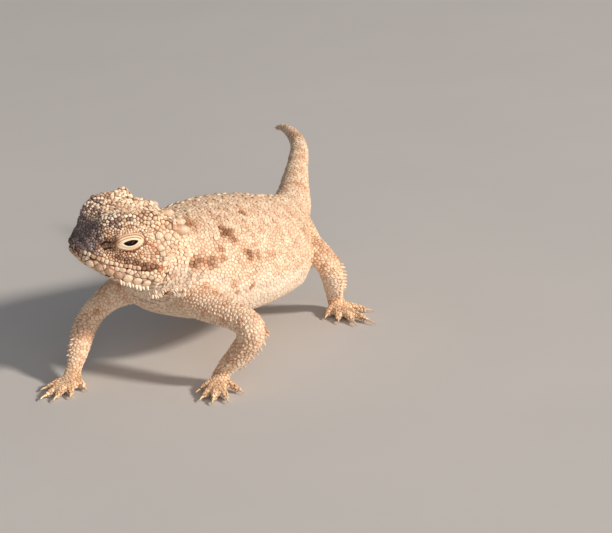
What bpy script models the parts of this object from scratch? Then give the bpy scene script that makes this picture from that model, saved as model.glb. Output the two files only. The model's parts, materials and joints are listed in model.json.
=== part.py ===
"""Still, life-size model of a round-tailed horned lizard standing on a level floor.

The head is raised and turned to the animal's right, the chest is held up on spread forelegs and
the slender tail is lifted. Sizes are in millimetres until a mesh is made, and +X is the animal's
left, -Y is ahead of it and +Z is up. Every part of the body is one closed solid.
"""

import math
from random import Random

import bmesh
import bpy
from mathutils import Matrix, Vector
from mathutils.bvhtree import BVHTree

MM = 0.001
GAP = 0.3  # clear space between two parts of the body that meet
ORIGIN = Vector((-0.81, 5.02, 0.0))  # floor point under the middle of the animal's box

HEAD_LENGTH = 13.0  # tip of the snout to the tips of the rear horns
TRUNK_HALF_WIDTH = 10.0  # at the widest, a little ahead of the middle

HEAD_AT = Vector((-2.4, -18.5, 16.0))  # middle of the head on the level of the mouth
HEAD_TURN = -34.0  # degrees, to the animal's right
HEAD_LIFT = -14.4  # degrees, snout up
HEAD_TILT = -6.3  # degrees, left cheek down


def clear_scene():
    for obj in list(bpy.data.objects):
        bpy.data.objects.remove(obj, do_unlink=True)


def make_material(name, colour, roughness):
    material = bpy.data.materials.new(name)
    material.use_nodes = True
    shader = material.node_tree.nodes["Principled BSDF"]
    shader.inputs["Base Color"].default_value = (*colour, 1.0)
    shader.inputs["Roughness"].default_value = roughness
    shader.inputs["Metallic"].default_value = 0.0
    return material


def make_collection(name):
    collection = bpy.data.collections.new(name)
    bpy.context.scene.collection.children.link(collection)
    return collection


clear_scene()
BODY = make_collection("horned_lizard")
WORK = make_collection("work_pieces")
SKIN = make_material("skin", (0.72, 0.53, 0.35), 0.75)
EYE = make_material("eye", (0.02, 0.015, 0.012), 0.15)
HORN = make_material("horn", (0.78, 0.62, 0.44), 0.6)


def object_from_bmesh(name, mesh_data, collection=WORK):
    """A new object at the origin from a bmesh whose points are in millimetres."""
    bmesh.ops.scale(mesh_data, vec=(MM, MM, MM), verts=mesh_data.verts)
    mesh = bpy.data.meshes.new(name)
    mesh_data.to_mesh(mesh)
    mesh_data.free()
    obj = bpy.data.objects.new(name, mesh)
    collection.objects.link(obj)
    return obj


def settled(obj, name=None):
    """The object as the viewport evaluates it, as a plain mesh object. The first one is removed."""
    graph = bpy.context.evaluated_depsgraph_get()
    mesh = bpy.data.meshes.new_from_object(obj.evaluated_get(graph))
    result = bpy.data.objects.new(name or obj.name, mesh)
    result.matrix_world = obj.matrix_world
    WORK.objects.link(result)
    bpy.data.objects.remove(obj, do_unlink=True)
    return result


def soft_form(name, rings, levels):
    """A closed cage of equal rings, capped at both ends, under Subdivision Surface."""
    cage = bmesh.new()
    loops = [[cage.verts.new(point) for point in ring] for ring in rings]
    count = len(loops[0])
    for near, far in zip(loops, loops[1:]):
        for i in range(count):
            j = (i + 1) % count
            cage.faces.new((near[i], near[j], far[j], far[i]))
    cage.faces.new(list(reversed(loops[0])))
    cage.faces.new(loops[-1])
    bmesh.ops.recalc_face_normals(cage, faces=cage.faces)
    obj = object_from_bmesh(name, cage)
    if levels:
        smooth = obj.modifiers.new("smooth", "SUBSURF")
        smooth.levels = levels
        smooth.render_levels = levels
    return settled(obj)


def along(points, steps):
    """Points on a smooth curve through the given ones: vectors of any length, each span in steps."""
    ends = [2 * points[0] - points[1], *points, 2 * points[-1] - points[-2]]
    curve = []
    for i in range(1, len(ends) - 2):
        a, b, c, d = ends[i - 1 : i + 3]
        for k in range(steps):
            t = k / steps
            cubic = (3 * b - a - 3 * c + d) * t**3
            square = (2 * a - 5 * b + 4 * c - d) * t**2
            curve.append(0.5 * (2 * b + (c - a) * t + square + cubic))
    curve.append(points[-1])
    return curve


def tapered_tube(name, stations, resolution=3):
    """A round tube with filled caps. Each station is (x, y, z, radius), all as one vector."""
    curve = bpy.data.curves.new(name, "CURVE")
    curve.dimensions = "3D"
    curve.bevel_depth = MM
    curve.bevel_resolution = resolution
    curve.use_fill_caps = True
    line = curve.splines.new("POLY")
    line.points.add(len(stations) - 1)
    for point, station in zip(line.points, stations):
        point.co = (station[0] * MM, station[1] * MM, station[2] * MM, 1.0)
        point.radius = station[3]
    obj = bpy.data.objects.new(name, curve)
    WORK.objects.link(obj)
    obj = settled(obj)
    welded = bmesh.new()
    welded.from_mesh(obj.data)
    bmesh.ops.remove_doubles(welded, verts=welded.verts, dist=0.00001)
    bmesh.ops.recalc_face_normals(welded, faces=welded.faces)
    welded.to_mesh(obj.data)
    welded.free()
    return obj


def largest_surface(obj):
    """Drops all but the largest closed surface of the object's mesh."""
    mesh = bmesh.new()
    mesh.from_mesh(obj.data)
    left = set(mesh.verts)
    shells = []
    while left:
        todo = [left.pop()]
        shell = list(todo)
        while todo:
            for edge in todo.pop().link_edges:
                for vert in edge.verts:
                    if vert in left:
                        left.discard(vert)
                        todo.append(vert)
                        shell.append(vert)
        shells.append(shell)
    shells.sort(key=len, reverse=True)
    scraps = [vert for shell in shells[1:] for vert in shell]
    bmesh.ops.delete(mesh, geom=scraps, context="VERTS")
    mesh.to_mesh(obj.data)
    mesh.free()
    return obj


def fused(obj, pieces):
    """The object joined with the pieces by one Boolean union. The pieces are removed."""
    if not pieces:
        return obj
    joined = make_collection("joined")
    for piece in pieces:
        WORK.objects.unlink(piece)
        joined.objects.link(piece)
    union = obj.modifiers.new("union", "BOOLEAN")
    union.operation = "UNION"
    union.operand_type = "COLLECTION"
    union.collection = joined
    union.solver = "MANIFOLD"
    bpy.context.view_layer.update()
    result = settled(obj)
    for piece in pieces:
        bpy.data.objects.remove(piece, do_unlink=True)
    bpy.data.collections.remove(joined)
    return largest_surface(result)


def carved(obj, cutter, keep=False):
    """The object less the cutter, which is removed unless it is kept for another cut."""
    cut = obj.modifiers.new("cut", "BOOLEAN")
    cut.operation = "DIFFERENCE"
    cut.operand_type = "OBJECT"
    cut.object = cutter
    cut.solver = "MANIFOLD"
    bpy.context.view_layer.update()
    result = settled(obj)
    if not keep:
        bpy.data.objects.remove(cutter, do_unlink=True)
    return largest_surface(result)


def swollen(obj, by):
    """A copy of the object with its surface moved out by a distance in millimetres."""
    mesh = bmesh.new()
    mesh.from_mesh(obj.data)
    mesh.normal_update()
    moved = [vert.co + vert.normal * by * MM for vert in mesh.verts]
    for vert, place in zip(mesh.verts, moved):
        vert.co = place
    copy = bpy.data.meshes.new("swollen")
    mesh.to_mesh(copy)
    mesh.free()
    result = bpy.data.objects.new("swollen", copy)
    WORK.objects.link(result)
    return result


def turned_to(direction, at):
    """The matrix that takes +Z to a direction and the origin to a point, in millimetres."""
    turn = direction.to_track_quat("Z", "Y").to_matrix().to_4x4()
    return Matrix.Translation(at) @ turn


def spine(base, direction, radius, length, sides=5):
    """A pointed scale whose root is sunk a third of its length into the skin."""
    sink = max(0.35, 0.35 * length)
    mesh = bmesh.new()
    middle = base + direction.normalized() * (length - sink) / 2
    bmesh.ops.create_cone(
        mesh,
        cap_ends=True,
        segments=sides,
        radius1=radius,
        radius2=0.0,
        depth=length + sink,
        matrix=turned_to(direction, middle),
    )
    return object_from_bmesh("spine", mesh)


def plate(centre, normal, ahead, size, sides=6):
    """A raised scale with sloping edges. size is half length, half width and height."""
    axis = normal.normalized()
    side = ahead.cross(axis).normalized()
    lie = axis.cross(side).normalized()
    turn = Matrix((side, lie, axis)).transposed().to_4x4()
    scale = Matrix.Diagonal((size[1], size[0], 1.0, 1.0))
    sink = 0.3
    mesh = bmesh.new()
    bmesh.ops.create_cone(
        mesh,
        cap_ends=True,
        segments=sides,
        radius1=1.12,
        radius2=0.62,
        depth=size[2] + sink,
        matrix=Matrix.Translation((0, 0, (size[2] - sink) / 2)),
    )
    place = Matrix.Translation(centre) @ turn @ scale
    bmesh.ops.transform(mesh, matrix=place, verts=mesh.verts)
    return object_from_bmesh("plate", mesh)


def surface_of(obj):
    return BVHTree.FromObject(obj, bpy.context.evaluated_depsgraph_get())


def met(surface, start, direction):
    """Where a line from a point inside meets the surface, and the outward normal there."""
    place, normal, _, _ = surface.ray_cast(start * MM, direction.normalized())
    if normal.dot(direction) < 0:
        normal = -normal
    return place / MM, normal


def finished(obj, name, material):
    """Names the node, gives it its material and stands it in the shared frame."""
    obj.name = name
    obj.data.name = name
    obj.data.materials.clear()
    obj.data.materials.append(material)
    obj.data.transform(Matrix.Translation(-ORIGIN * MM))
    obj.data.shade_smooth()
    obj.data.set_sharp_from_angle(angle=math.radians(40))
    WORK.objects.unlink(obj)
    BODY.objects.link(obj)
    return obj


# Trunk. One flattened form from the shoulders to the vent, domed above, nearly flat below and
# widest low on the flank, where a horned lizard's side turns sharply under its pale belly.
# Each station is y, height of the widest level, half width, rise above it and depth below it.
TRUNK = (
    (-16.6, 14.4, 2.7, 2.3, 2.8),
    (-15.2, 14.0, 4.4, 3.5, 4.4),
    (-13.2, 12.6, 6.4, 5.2, 5.3),
    (-10.4, 11.2, 8.2, 7.0, 5.5),
    (-7.0, 10.2, 9.4, 8.3, 5.2),
    (-3.2, 9.4, 10.0, 9.0, 4.8),
    (0.8, 8.9, 9.9, 9.0, 4.5),
    (4.6, 8.4, 9.2, 8.6, 4.3),
    (8.0, 8.3, 8.0, 7.6, 4.3),
    (11.2, 8.6, 6.3, 6.2, 4.1),
    (14.2, 9.4, 4.6, 4.5, 3.3),
    (16.4, 10.4, 3.4, 3.0, 2.7),
    (17.5, 10.7, 2.2, 1.8, 1.8),
)
TRUNK_SIDES = 16


def trunk_ring(station):
    y, level, half_width, rise, depth = station
    wide = half_width * TRUNK_HALF_WIDTH / 10.0
    ring = []
    for i in range(TRUNK_SIDES):
        turn = 2 * math.pi * (i + 0.5) / TRUNK_SIDES
        across, up = math.cos(turn), math.sin(turn)
        full = 0.9 if up > 0 else 0.72
        across = math.copysign(abs(across) ** full, across)
        height = rise * up if up > 0 else -depth * abs(up) ** 0.8
        ring.append(Vector((wide * across, y, level + height)))
    return ring


def trunk_centre(y):
    """The middle of the trunk's section at a given y."""
    for near, far in zip(TRUNK, TRUNK[1:]):
        if near[0] <= y <= far[0]:
            share = (y - near[0]) / (far[0] - near[0])
            level = near[1] + share * (far[1] - near[1])
            rise = near[3] + share * (far[3] - near[3])
            depth = near[4] + share * (far[4] - near[4])
            return Vector((0.0, y, level + (rise - depth) / 2))
    return Vector((0.0, y, TRUNK[-1][1]))


def trunk_spines(surface):
    """Rows of slightly enlarged back scales, leaning to the rear, small ones nearer the flank."""
    rng = Random(11)
    pieces = []
    for lean, first, last, step, size in (
        (17, -12.5, 13.5, 3.0, 0.62),
        (44, -11.0, 11.5, 3.4, 0.55),
        (68, -9.5, 9.5, 3.8, 0.48),
    ):
        count = int((last - first) / step)
        for side in (-1, 1):
            for i in range(count + 1):
                y = first + i * step + rng.uniform(-0.5, 0.5)
                turn = math.radians(side * (lean + rng.uniform(-4, 4)))
                out = Vector((math.sin(turn), 0.0, math.cos(turn)))
                place, normal = met(surface, trunk_centre(y), out)
                back = (normal + Vector((0, 0.9, 0))).normalized()
                pieces.append(
                    spine(place, back, size * 0.8, size * rng.uniform(0.9, 1.2), 4)
                )
    return pieces


trunk = soft_form("trunk", [trunk_ring(station) for station in TRUNK], 1)
trunk_surface = surface_of(trunk)
trunk_swollen = swollen(trunk, GAP)

# Head, modelled facing -Y round its own middle at the level of the mouth, then turned and placed.
# Each station is y, lowest point, jaw half width, cheek half width and height, half width and
# height at the level of the eye, half width and height of the brow, and height of the crown.
HEAD = (
    (-5.6, 0.15, 0.8, 0.9, 0.75, 0.85, 1.0, 0.6, 1.25, 1.3),
    (-5.35, -0.25, 1.6, 1.6, 0.85, 1.5, 1.25, 1.15, 1.55, 1.65),
    (-4.95, -0.55, 2.4, 2.25, 1.0, 2.0, 1.6, 1.65, 2.15, 2.3),
    (-4.5, -0.8, 3.0, 2.75, 1.2, 2.4, 2.1, 2.3, 3.3, 3.0),
    (-3.9, -1.05, 3.5, 3.2, 1.3, 2.8, 2.5, 3.15, 5.05, 4.15),
    (-3.0, -1.45, 4.1, 3.7, 1.4, 3.25, 2.8, 3.75, 5.85, 4.95),
    (-1.8, -2.05, 4.75, 4.3, 1.5, 3.8, 3.1, 4.1, 6.2, 5.35),
    (-0.4, -2.5, 5.25, 4.8, 1.5, 4.3, 3.2, 4.35, 6.5, 5.6),
    (1.1, -2.7, 5.6, 5.3, 1.6, 4.8, 3.3, 4.55, 6.7, 5.75),
    (2.4, -2.8, 5.7, 5.65, 1.7, 5.3, 3.5, 4.6, 6.1, 5.7),
    (3.6, -2.6, 5.2, 5.5, 1.9, 5.4, 3.7, 4.8, 5.4, 5.6),
    (4.9, -1.9, 4.2, 4.7, 2.0, 4.8, 3.7, 4.6, 5.6, 5.4),
    (5.6, -0.6, 2.9, 3.4, 2.0, 3.6, 3.4, 3.1, 4.7, 4.8),
)
MODELLED_HEAD_LENGTH = 13.0  # that the sizes of the head and its parts are given for
MOUTH = ((-6.0, 0.55), (-4.5, 0.45), (-3.0, 0.12), (-1.0, -0.08), (1.0, -0.43), (2.6, -0.7))
EYE_AT = Vector((3.7, -1.1, 3.15))
EYE_RADIUS = 1.2
LID_SIZE = Vector((1.4, 2.0, 1.5))
SLIT_HALF_LENGTH = 0.85
SLIT_HALF_HEIGHT = 0.36
SLIT_TILT = 14  # degrees, its rear end up


def mouth_height(y):
    """Height of the line between the jaws, which drops a little towards the corner."""
    for near, far in zip(MOUTH, MOUTH[1:]):
        if y <= far[0]:
            share = max(0.0, (y - near[0]) / (far[0] - near[0]))
            return near[1] + share * (far[1] - near[1])
    return MOUTH[-1][1]


def head_ring(station):
    y, low, jaw, cheek, cheek_z, side, side_z, brow, brow_z, crown = station
    half = (
        (0.0, low),
        (0.5 * jaw, low * 0.97),
        (0.86 * jaw, low * 0.8 + mouth_height(y) * 0.2 - 0.1),
        (jaw, mouth_height(y) - 0.1),
        (0.5 * (jaw + cheek), 0.5 * (cheek_z + mouth_height(y)) + 0.05),
        (cheek, cheek_z),
        (side, side_z),
        (0.5 * (side + brow), 0.5 * (side_z + brow_z)),
        (brow, brow_z - 0.1),
        (0.72 * brow, 0.5 * (brow_z + crown) + 0.1),
        (0.36 * brow, crown),
        (0.0, crown - 0.05),
    )
    left = [Vector((x, y, z)) for x, z in half]
    right = [Vector((-x, y, z)) for x, z in reversed(half[1:-1])]
    return left + right


def head_matrix():
    """Takes the head's own frame to the animal's, in millimetres."""
    turn = Matrix.Rotation(math.radians(HEAD_TURN), 4, "Z")
    lift = Matrix.Rotation(math.radians(HEAD_LIFT), 4, "X")
    tilt = Matrix.Rotation(math.radians(HEAD_TILT), 4, Vector((0, -1, 0)))
    size = Matrix.Scale(HEAD_LENGTH / MODELLED_HEAD_LENGTH, 4)
    return Matrix.Translation(HEAD_AT) @ turn @ lift @ tilt @ size


def mirrored(vector, side):
    return Vector((vector.x * side, vector.y, vector.z))


def eye_ball(side, radius):
    """The eye, or with a larger radius the socket that clears it."""
    mesh = bmesh.new()
    bmesh.ops.create_uvsphere(mesh, u_segments=16, v_segments=10, radius=radius)
    bmesh.ops.translate(mesh, vec=mirrored(EYE_AT, side), verts=mesh.verts)
    return object_from_bmesh("eye_ball", mesh)


def lid_mound(side):
    """The swelling of both lids over the eye."""
    mesh = bmesh.new()
    bmesh.ops.create_uvsphere(mesh, u_segments=16, v_segments=10, radius=1.0)
    bmesh.ops.transform(
        mesh,
        matrix=Matrix.Translation(mirrored(EYE_AT, side) + Vector((side * 0.35, 0, 0)))
        @ Matrix.Diagonal((*LID_SIZE, 1.0)),
        verts=mesh.verts,
    )
    return object_from_bmesh("lid_mound", mesh)


def lid_slit(side):
    """A lens-shaped bar through the lids, so that the eye shows between them."""
    mesh = bmesh.new()
    bmesh.ops.create_cone(
        mesh, cap_ends=True, segments=12, radius1=1.0, radius2=1.0, depth=3.0
    )
    turn = Matrix.Rotation(math.radians(90), 4, "Y")
    lens = Matrix.Diagonal((SLIT_HALF_HEIGHT, SLIT_HALF_LENGTH, 1.0, 1.0))
    tilt = Matrix.Rotation(math.radians(SLIT_TILT), 4, "X")
    place = Matrix.Translation(mirrored(EYE_AT, side) + Vector((side * 2.3, 0, 0.03)))
    bmesh.ops.transform(mesh, matrix=place @ tilt @ turn @ lens, verts=mesh.verts)
    return object_from_bmesh("lid_slit", mesh)


def lip_line(surface):
    """Places and normals along the mouth, from its left corner round the snout to its right."""
    corner, front = 2.5, -4.8
    line = []
    for i in range(9):
        y = corner + (front - corner) * i / 8
        line.append(met(surface, Vector((0, y, mouth_height(y))), Vector((1, 0, 0))))
    for turn in (60, 78):
        way = Vector((math.cos(math.radians(turn)), -math.sin(math.radians(turn)), 0))
        start = Vector((0, -4.0, mouth_height(-5.5)))
        line.append(met(surface, start, way))
    right = [(mirrored(place, -1), mirrored(normal, -1)) for place, normal in reversed(line)]
    return line + right


def mouth_groove(surface):
    """A thin wedge round both jaws, from one corner of the mouth to the other."""
    outline = lip_line(surface)
    rings = []
    for i, (place, normal) in enumerate(outline):
        out = Vector((normal.x, normal.y, 0)).normalized()
        deep = 0.12 if i in (0, len(outline) - 1) else 0.5
        outer = place + out * 0.5
        inner = place - out * deep
        rings.append(
            [
                outer + Vector((0, 0, 0.3)),
                inner + Vector((0, 0, 0.06)),
                inner - Vector((0, 0, 0.06)),
                outer - Vector((0, 0, 0.3)),
            ]
        )
    return soft_form("mouth_groove", rings, 0)


def nostril(side):
    """A short slanting hole beside the tip of the snout."""
    mesh = bmesh.new()
    at = Vector((side * 1.05, -5.05, 1.75))
    out = Vector((side * 0.55, -0.75, 0.45))
    bmesh.ops.create_cone(
        mesh,
        cap_ends=True,
        segments=8,
        radius1=0.2,
        radius2=0.26,
        depth=1.3,
        matrix=turned_to(out, at),
    )
    return object_from_bmesh("nostril", mesh)


head = soft_form("head", [head_ring(station) for station in HEAD], 1)
head_surface = surface_of(head)
head_clearance = swollen(head, 2 * GAP)

# Small horns and pointed scales that stay part of the head's own solid: where each one stands
# when seen from the head's middle, the way it points, its radius at the root and its length.
HEAD_SPINES = (
    ("brow horn", (4.35, 1.7, 6.4), (0.2, 0.45, 0.85), 0.8, 0.75),
    ("third temple horn", (5.4, 4.0, 3.3), (0.85, 0.55, 0.0), 0.75, 1.1),
    ("fourth temple horn", (5.6, 3.2, 2.3), (1.0, 0.35, -0.05), 0.6, 0.8),
    ("cheek scale", (5.4, 1.9, 2.0), (1.0, 0.35, 0.1), 0.45, 0.5),
    ("jaw corner scale", (5.5, 3.0, -0.9), (0.9, 0.45, -0.2), 0.5, 0.9),
)
CHIN_SHIELDS = 7
LIP_SCALES = 9
GULAR_SPINES = 5
CROWN_SPACING = 1.0  # between the raised scales of the crown, brow and temple
CROWN_FRONT = -3.7
CROWN_REAR = 5.0


def row_along_jaw(side, count, first, step, rise, size, sides=6):
    """Scales in a row beside the mouth line, at a height above or below it."""
    pieces = []
    for i in range(count):
        y = first + step * i
        start = Vector((0, y + 0.3, mouth_height(y) + rise))
        place, normal = met(head_surface, start, Vector((side, -0.12, 0.12 * rise)))
        pieces.append(plate(place, normal, Vector((0, 1, 0)), size, sides))
    return pieces


def crown_scales():
    """Raised, roughly six-sided scales in staggered rows from brow to brow."""
    rng = Random(5)
    pieces = []
    rows = int((CROWN_REAR - CROWN_FRONT) / CROWN_SPACING) + 1
    for row in range(rows):
        y = CROWN_FRONT + row * CROWN_SPACING
        for column in range(-4, 5):
            across = column + (0.5 if row % 2 else 0.0)
            turn = math.radians(across * 17.0)
            way = Vector((math.sin(turn), rng.uniform(-0.05, 0.05), math.cos(turn)))
            if abs(across) > 4 or (abs(across) > 2.6 and y < -2.5):
                continue
            place, normal = met(head_surface, Vector((0, y, 1.2)), way)
            grow = rng.uniform(0.8, 1.1)
            size = (0.52 * grow, 0.5 * grow, 0.22 + 0.1 * grow)
            pieces.append(plate(place, normal, Vector((0.2, 1, 0)), size, 5))
    return pieces


def head_scales():
    """Horn-like scales, the crown's raised scales and the rows along both jaws."""
    pieces = crown_scales()
    middle = Vector((0, 0, 2.0))
    for side in (-1, 1):
        for _, at, way, radius, length in HEAD_SPINES:
            place, _ = met(head_surface, middle, mirrored(Vector(at), side) - middle)
            pieces.append(spine(place, mirrored(Vector(way), side), radius, length, 6))
        pieces += row_along_jaw(side, LIP_SCALES, -4.7, 0.88, 0.42, (0.46, 0.26, 0.2))
        pieces += row_along_jaw(side, CHIN_SHIELDS, -4.1, 1.1, -0.75, (0.56, 0.4, 0.24))
        for i in range(GULAR_SPINES):
            y = -0.9 + 0.85 * i
            start = Vector((0, y, -1.2))
            place, _ = met(head_surface, start, Vector((side, 0, -0.22)))
            out = Vector((side * 0.8, 0.35, -0.75))
            pieces.append(spine(place, out, 0.34, 0.5, 4))
    return pieces


def upper_lid(side):
    """The scaly rim over the eye, from its front corner to well behind it."""
    rim = []
    for y, z in ((-3.1, 3.0), (-2.5, 3.9), (-1.7, 4.2), (-0.7, 4.15), (0.4, 3.85), (1.0, 3.5)):
        place, normal = met(lidded_surface, Vector((0, y, z - 0.3)), Vector((side, 0, 0.05)))
        rim.append(Vector((*(place + normal * 0.02), 0.3 if -3 < y < 0.9 else 0.12)))
    return tapered_tube("upper_lid", along(rim, 2), 1)


def lower_lid(side):
    """The smooth plate under the slit."""
    start = Vector((0, EYE_AT.y, EYE_AT.z - 0.25))
    place, normal = met(lidded_surface, start, Vector((side, 0, 0)))
    return plate(place, normal, Vector((0, 1, 0.2)), (1.3, 0.85, 0.26), 12)


head = fused(head, [lid_mound(-1), lid_mound(1)])
lidded_surface = surface_of(head)
lids = [shape(side) for shape in (upper_lid, lower_lid) for side in (-1, 1)]
head = fused(head, head_scales() + lids)
for side in (-1, 1):
    head = carved(head, lid_slit(side))
    head = carved(head, eye_ball(side, EYE_RADIUS + GAP))
    head = carved(head, nostril(side))
head = carved(head, mouth_groove(head_surface))

# The four longest horns stand free at the back of the head as parts of their own.
LONG_HORNS = (
    ("horn_occipital", (1.5, 5.2, 4.45), (0.1, 0.97, 0.1), 0.85, 1.9),
    ("horn_temporal", (4.1, 4.6, 4.55), (0.3, 0.93, 0.05), 0.98, 1.8),
)
PLACED = head_matrix()


def long_horn(at, way, radius, length, side):
    """A short cone, gently curved up, that starts inside the head."""
    start = mirrored(Vector(at), side)
    out = mirrored(Vector(way), side).normalized()
    stations = []
    for share, thick in ((-0.4, 1.1), (0.0, 1.0), (0.45, 0.8), (0.8, 0.5), (1.0, 0.15)):
        bend = Vector((0, 0, 0.15 * length * max(0.0, share) ** 2))
        point = start + out * length * share + bend
        stations.append(Vector((*point, radius * thick)))
    return tapered_tube("horn", stations, 2)


def placed(obj):
    move = Matrix.Scale(MM, 4) @ PLACED @ Matrix.Scale(1 / MM, 4)
    obj.data.transform(move)
    return obj


head_swollen = swollen(head, GAP)
eyes = [(side, eye_ball(side, EYE_RADIUS)) for side in (-1, 1)]
horns = []
for name, at, way, radius, length in LONG_HORNS:
    for side in (-1, 1):
        horn = carved(long_horn(at, way, radius, length, side), head_swollen, keep=True)
        horns.append((name, side, horn))
placed(head)
placed(head_clearance)
bpy.data.objects.remove(head_swollen, do_unlink=True)
for side, eye in eyes:
    finished(placed(eye), "eye_left" if side > 0 else "eye_right", EYE)
horn_clearances = []
for name, side, horn in horns:
    placed(horn)
    horn_clearances.append(swollen(horn, GAP))
    finished(horn, name + ("_left" if side > 0 else "_right"), HORN)

# Neck. Thick and short, from inside the shoulders up to the back of the skull.
NECK = (
    (0.0, -12.4, 14.0, 5.0),
    (0.0, -14.4, 14.7, 4.8),
    (-0.4, -16.0, 15.8, 4.4),
    (-0.9, -17.2, 17.0, 3.9),
    (-1.3, -18.2, 18.0, 3.2),
)
neck = tapered_tube("neck", along([Vector(s) for s in NECK], 2), 4)
neck = carved(neck, trunk_swollen, keep=True)
for clearance in [head_clearance, *horn_clearances]:
    neck = carved(neck, clearance, keep=True)

# Legs. Each is one smooth line from inside the trunk to the wrist or ankle, parted at the elbow
# or knee. A station is x, y, z and radius, and the third one is the middle joint.
LEFT_ARM = (
    (3.2, -12.9, 10.4, 2.3),
    (5.6, -13.8, 9.4, 2.15),
    (9.6, -14.8, 8.7, 1.7),
    (13.0, -15.5, 7.5, 1.55),
    (11.0, -15.3, 4.6, 1.45),
    (7.9, -15.0, 1.75, 1.0),
)
RIGHT_ARM = (
    (-3.2, -12.4, 11.0, 2.2),
    (-5.4, -12.9, 10.0, 2.0),
    (-8.5, -12.8, 8.2, 1.6),
    (-11.0, -13.1, 5.7, 1.45),
    (-10.5, -16.0, 3.8, 1.35),
    (-9.6, -19.2, 1.75, 0.98),
)
LEFT_LEG = (
    (2.2, 14.6, 9.6, 2.1),
    (3.9, 12.7, 9.4, 1.95),
    (6.3, 10.4, 8.9, 1.65),
    (9.6, 8.2, 7.7, 1.5),
    (9.1, 10.4, 4.6, 1.4),
    (7.7, 12.7, 1.7, 1.0),
)
RIGHT_LEG = (
    (-2.2, 14.6, 9.6, 2.1),
    (-4.1, 13.4, 9.5, 1.95),
    (-7.4, 11.8, 9.0, 1.7),
    (-10.7, 10.4, 7.8, 1.5),
    (-10.8, 13.4, 4.7, 1.4),
    (-10.4, 16.1, 1.7, 1.0),
)
STEPS = 4
JOINT = 3  # index of the elbow or knee among a leg's stations


def parted_leg(stations):
    """The upper and the lower length of a leg, with a gap between their flat ends."""
    line = along([Vector(s) for s in stations], STEPS)
    bend = JOINT * STEPS
    run = (line[bend + 1] - line[bend - 1]).normalized()
    middle = line[bend]
    upper = line[:bend] + [middle - run * (GAP / 2 + 0.25), middle - run * GAP / 2]
    lower = [middle + run * GAP / 2, middle + run * (GAP / 2 + 0.25)] + line[bend + 1 :]
    return tapered_tube("upper", upper, 2), tapered_tube("lower", lower, 2)


def leg_spines(obj, stations, first, last, count, lie, size):
    """A row of pointed scales down one edge of a leg, leaning towards the foot."""
    surface = surface_of(obj)
    line = along([Vector(s) for s in stations], STEPS)
    pieces = []
    for i in range(count):
        at = first + (last - first) * i / max(1, count - 1)
        k = int(at)
        point = line[k].lerp(line[k + 1], at - k)
        run = (line[k + 1] - line[k]).to_3d().normalized()
        out = (lie - run * lie.dot(run)).normalized()
        place, _ = met(surface, point.to_3d(), out)
        pieces.append(spine(place, out + run * 0.8, size * 0.62, size, 4))
    return pieces


# Feet. A flattened palm or sole with five toes that spread, arch down and end in a slender claw.
# A toe is its angle from the foot's line, its length and where along the palm it starts.
HAND_TOES = ((-38, 1.9, 0.45), (-12, 2.7, 0.85), (9, 3.1, 1.0), (29, 3.1, 0.95), (56, 2.2, 0.5))
FOOT_TOES = ((-40, 1.9, 0.4), (-17, 2.8, 0.7), (2, 3.7, 0.9), (20, 4.3, 1.0), (52, 2.7, 0.45))


def palm(wrist, ahead, across, palm_length, palm_width):
    """The flattened palm or sole, from the wrist or ankle down to the roots of the toes."""
    rings = []
    for share, height, half_width, half_height in (
        (0.0, wrist.z, 0.95, 0.9),
        (0.25, wrist.z * 0.72, 1.1, 0.85),
        (0.6, 0.75, palm_width * 0.92, 0.78),
        (0.95, 0.6, palm_width, 0.62),
        (1.15, 0.5, palm_width * 0.75, 0.45),
    ):
        centre = Vector((wrist.x, wrist.y, height)) + ahead * palm_length * share
        ring = []
        for i in range(8):
            turn = 2 * math.pi * i / 8
            up = Vector((0, 0, half_height * math.sin(turn)))
            ring.append(centre + across * half_width * math.cos(turn) + up)
        rings.append(ring)
    return soft_form("palm", rings, 0)


def toe(root, way, length):
    """A toe that arches up from the palm and comes down to a slender claw."""
    claw = 0.42 * length + 0.25
    profile = (
        (-0.5, 0.62, 0.46),
        (0.3 * length, 0.85, 0.5),
        (0.7 * length, 0.55, 0.42),
        (length, 0.38, 0.36),
        (length + 0.12, 0.38, 0.2),
        (length + 0.5 * claw, 0.34, 0.15),
        (length + claw, 0.1, 0.07),
    )
    stations = []
    for run, height, radius in profile:
        stations.append(Vector((*(root + way * run).xy, height, radius)))
    return tapered_tube("toe", stations, 1)


def foot(wrist, heading, side, toes, palm_length, palm_width):
    """The foot at the end of a leg. heading is degrees from straight ahead, outward positive."""
    aim = math.radians(heading)
    ahead = Vector((side * math.sin(aim), -math.cos(aim), 0))
    across = Vector((side * math.cos(aim), math.sin(aim), 0))
    pieces = []
    for angle, length, start in toes:
        spread = math.radians(angle)
        way = (ahead * math.cos(spread) + across * math.sin(spread)).normalized()
        shift = across * palm_width * 0.8 * math.sin(spread)
        root = Vector((wrist.x, wrist.y, 0)) + ahead * palm_length * start + shift
        pieces.append(toe(root, way, length))
    whole = fused(palm(wrist, ahead, across, palm_length, palm_width), pieces)
    floor = bmesh.new()
    bmesh.ops.create_cube(floor, size=20.0)
    bmesh.ops.translate(floor, vec=(wrist.x, wrist.y, -10.0), verts=floor.verts)
    return carved(whole, object_from_bmesh("floor", floor))


# Each leg: its side, the names of its three lengths, its line, the degrees outward that its foot
# points, the toes, and the length and half width of the palm or sole.
LEGS = (
    ("left", ("upper_arm", "forearm", "hand"), LEFT_ARM, 12, HAND_TOES, 2.3, 1.35),
    ("right", ("upper_arm", "forearm", "hand"), RIGHT_ARM, -18, HAND_TOES, 2.3, 1.35),
    ("left", ("thigh", "shank", "foot"), LEFT_LEG, 46, FOOT_TOES, 3.0, 1.3),
    ("right", ("thigh", "shank", "foot"), RIGHT_LEG, 34, FOOT_TOES, 3.0, 1.3),
)
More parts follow.
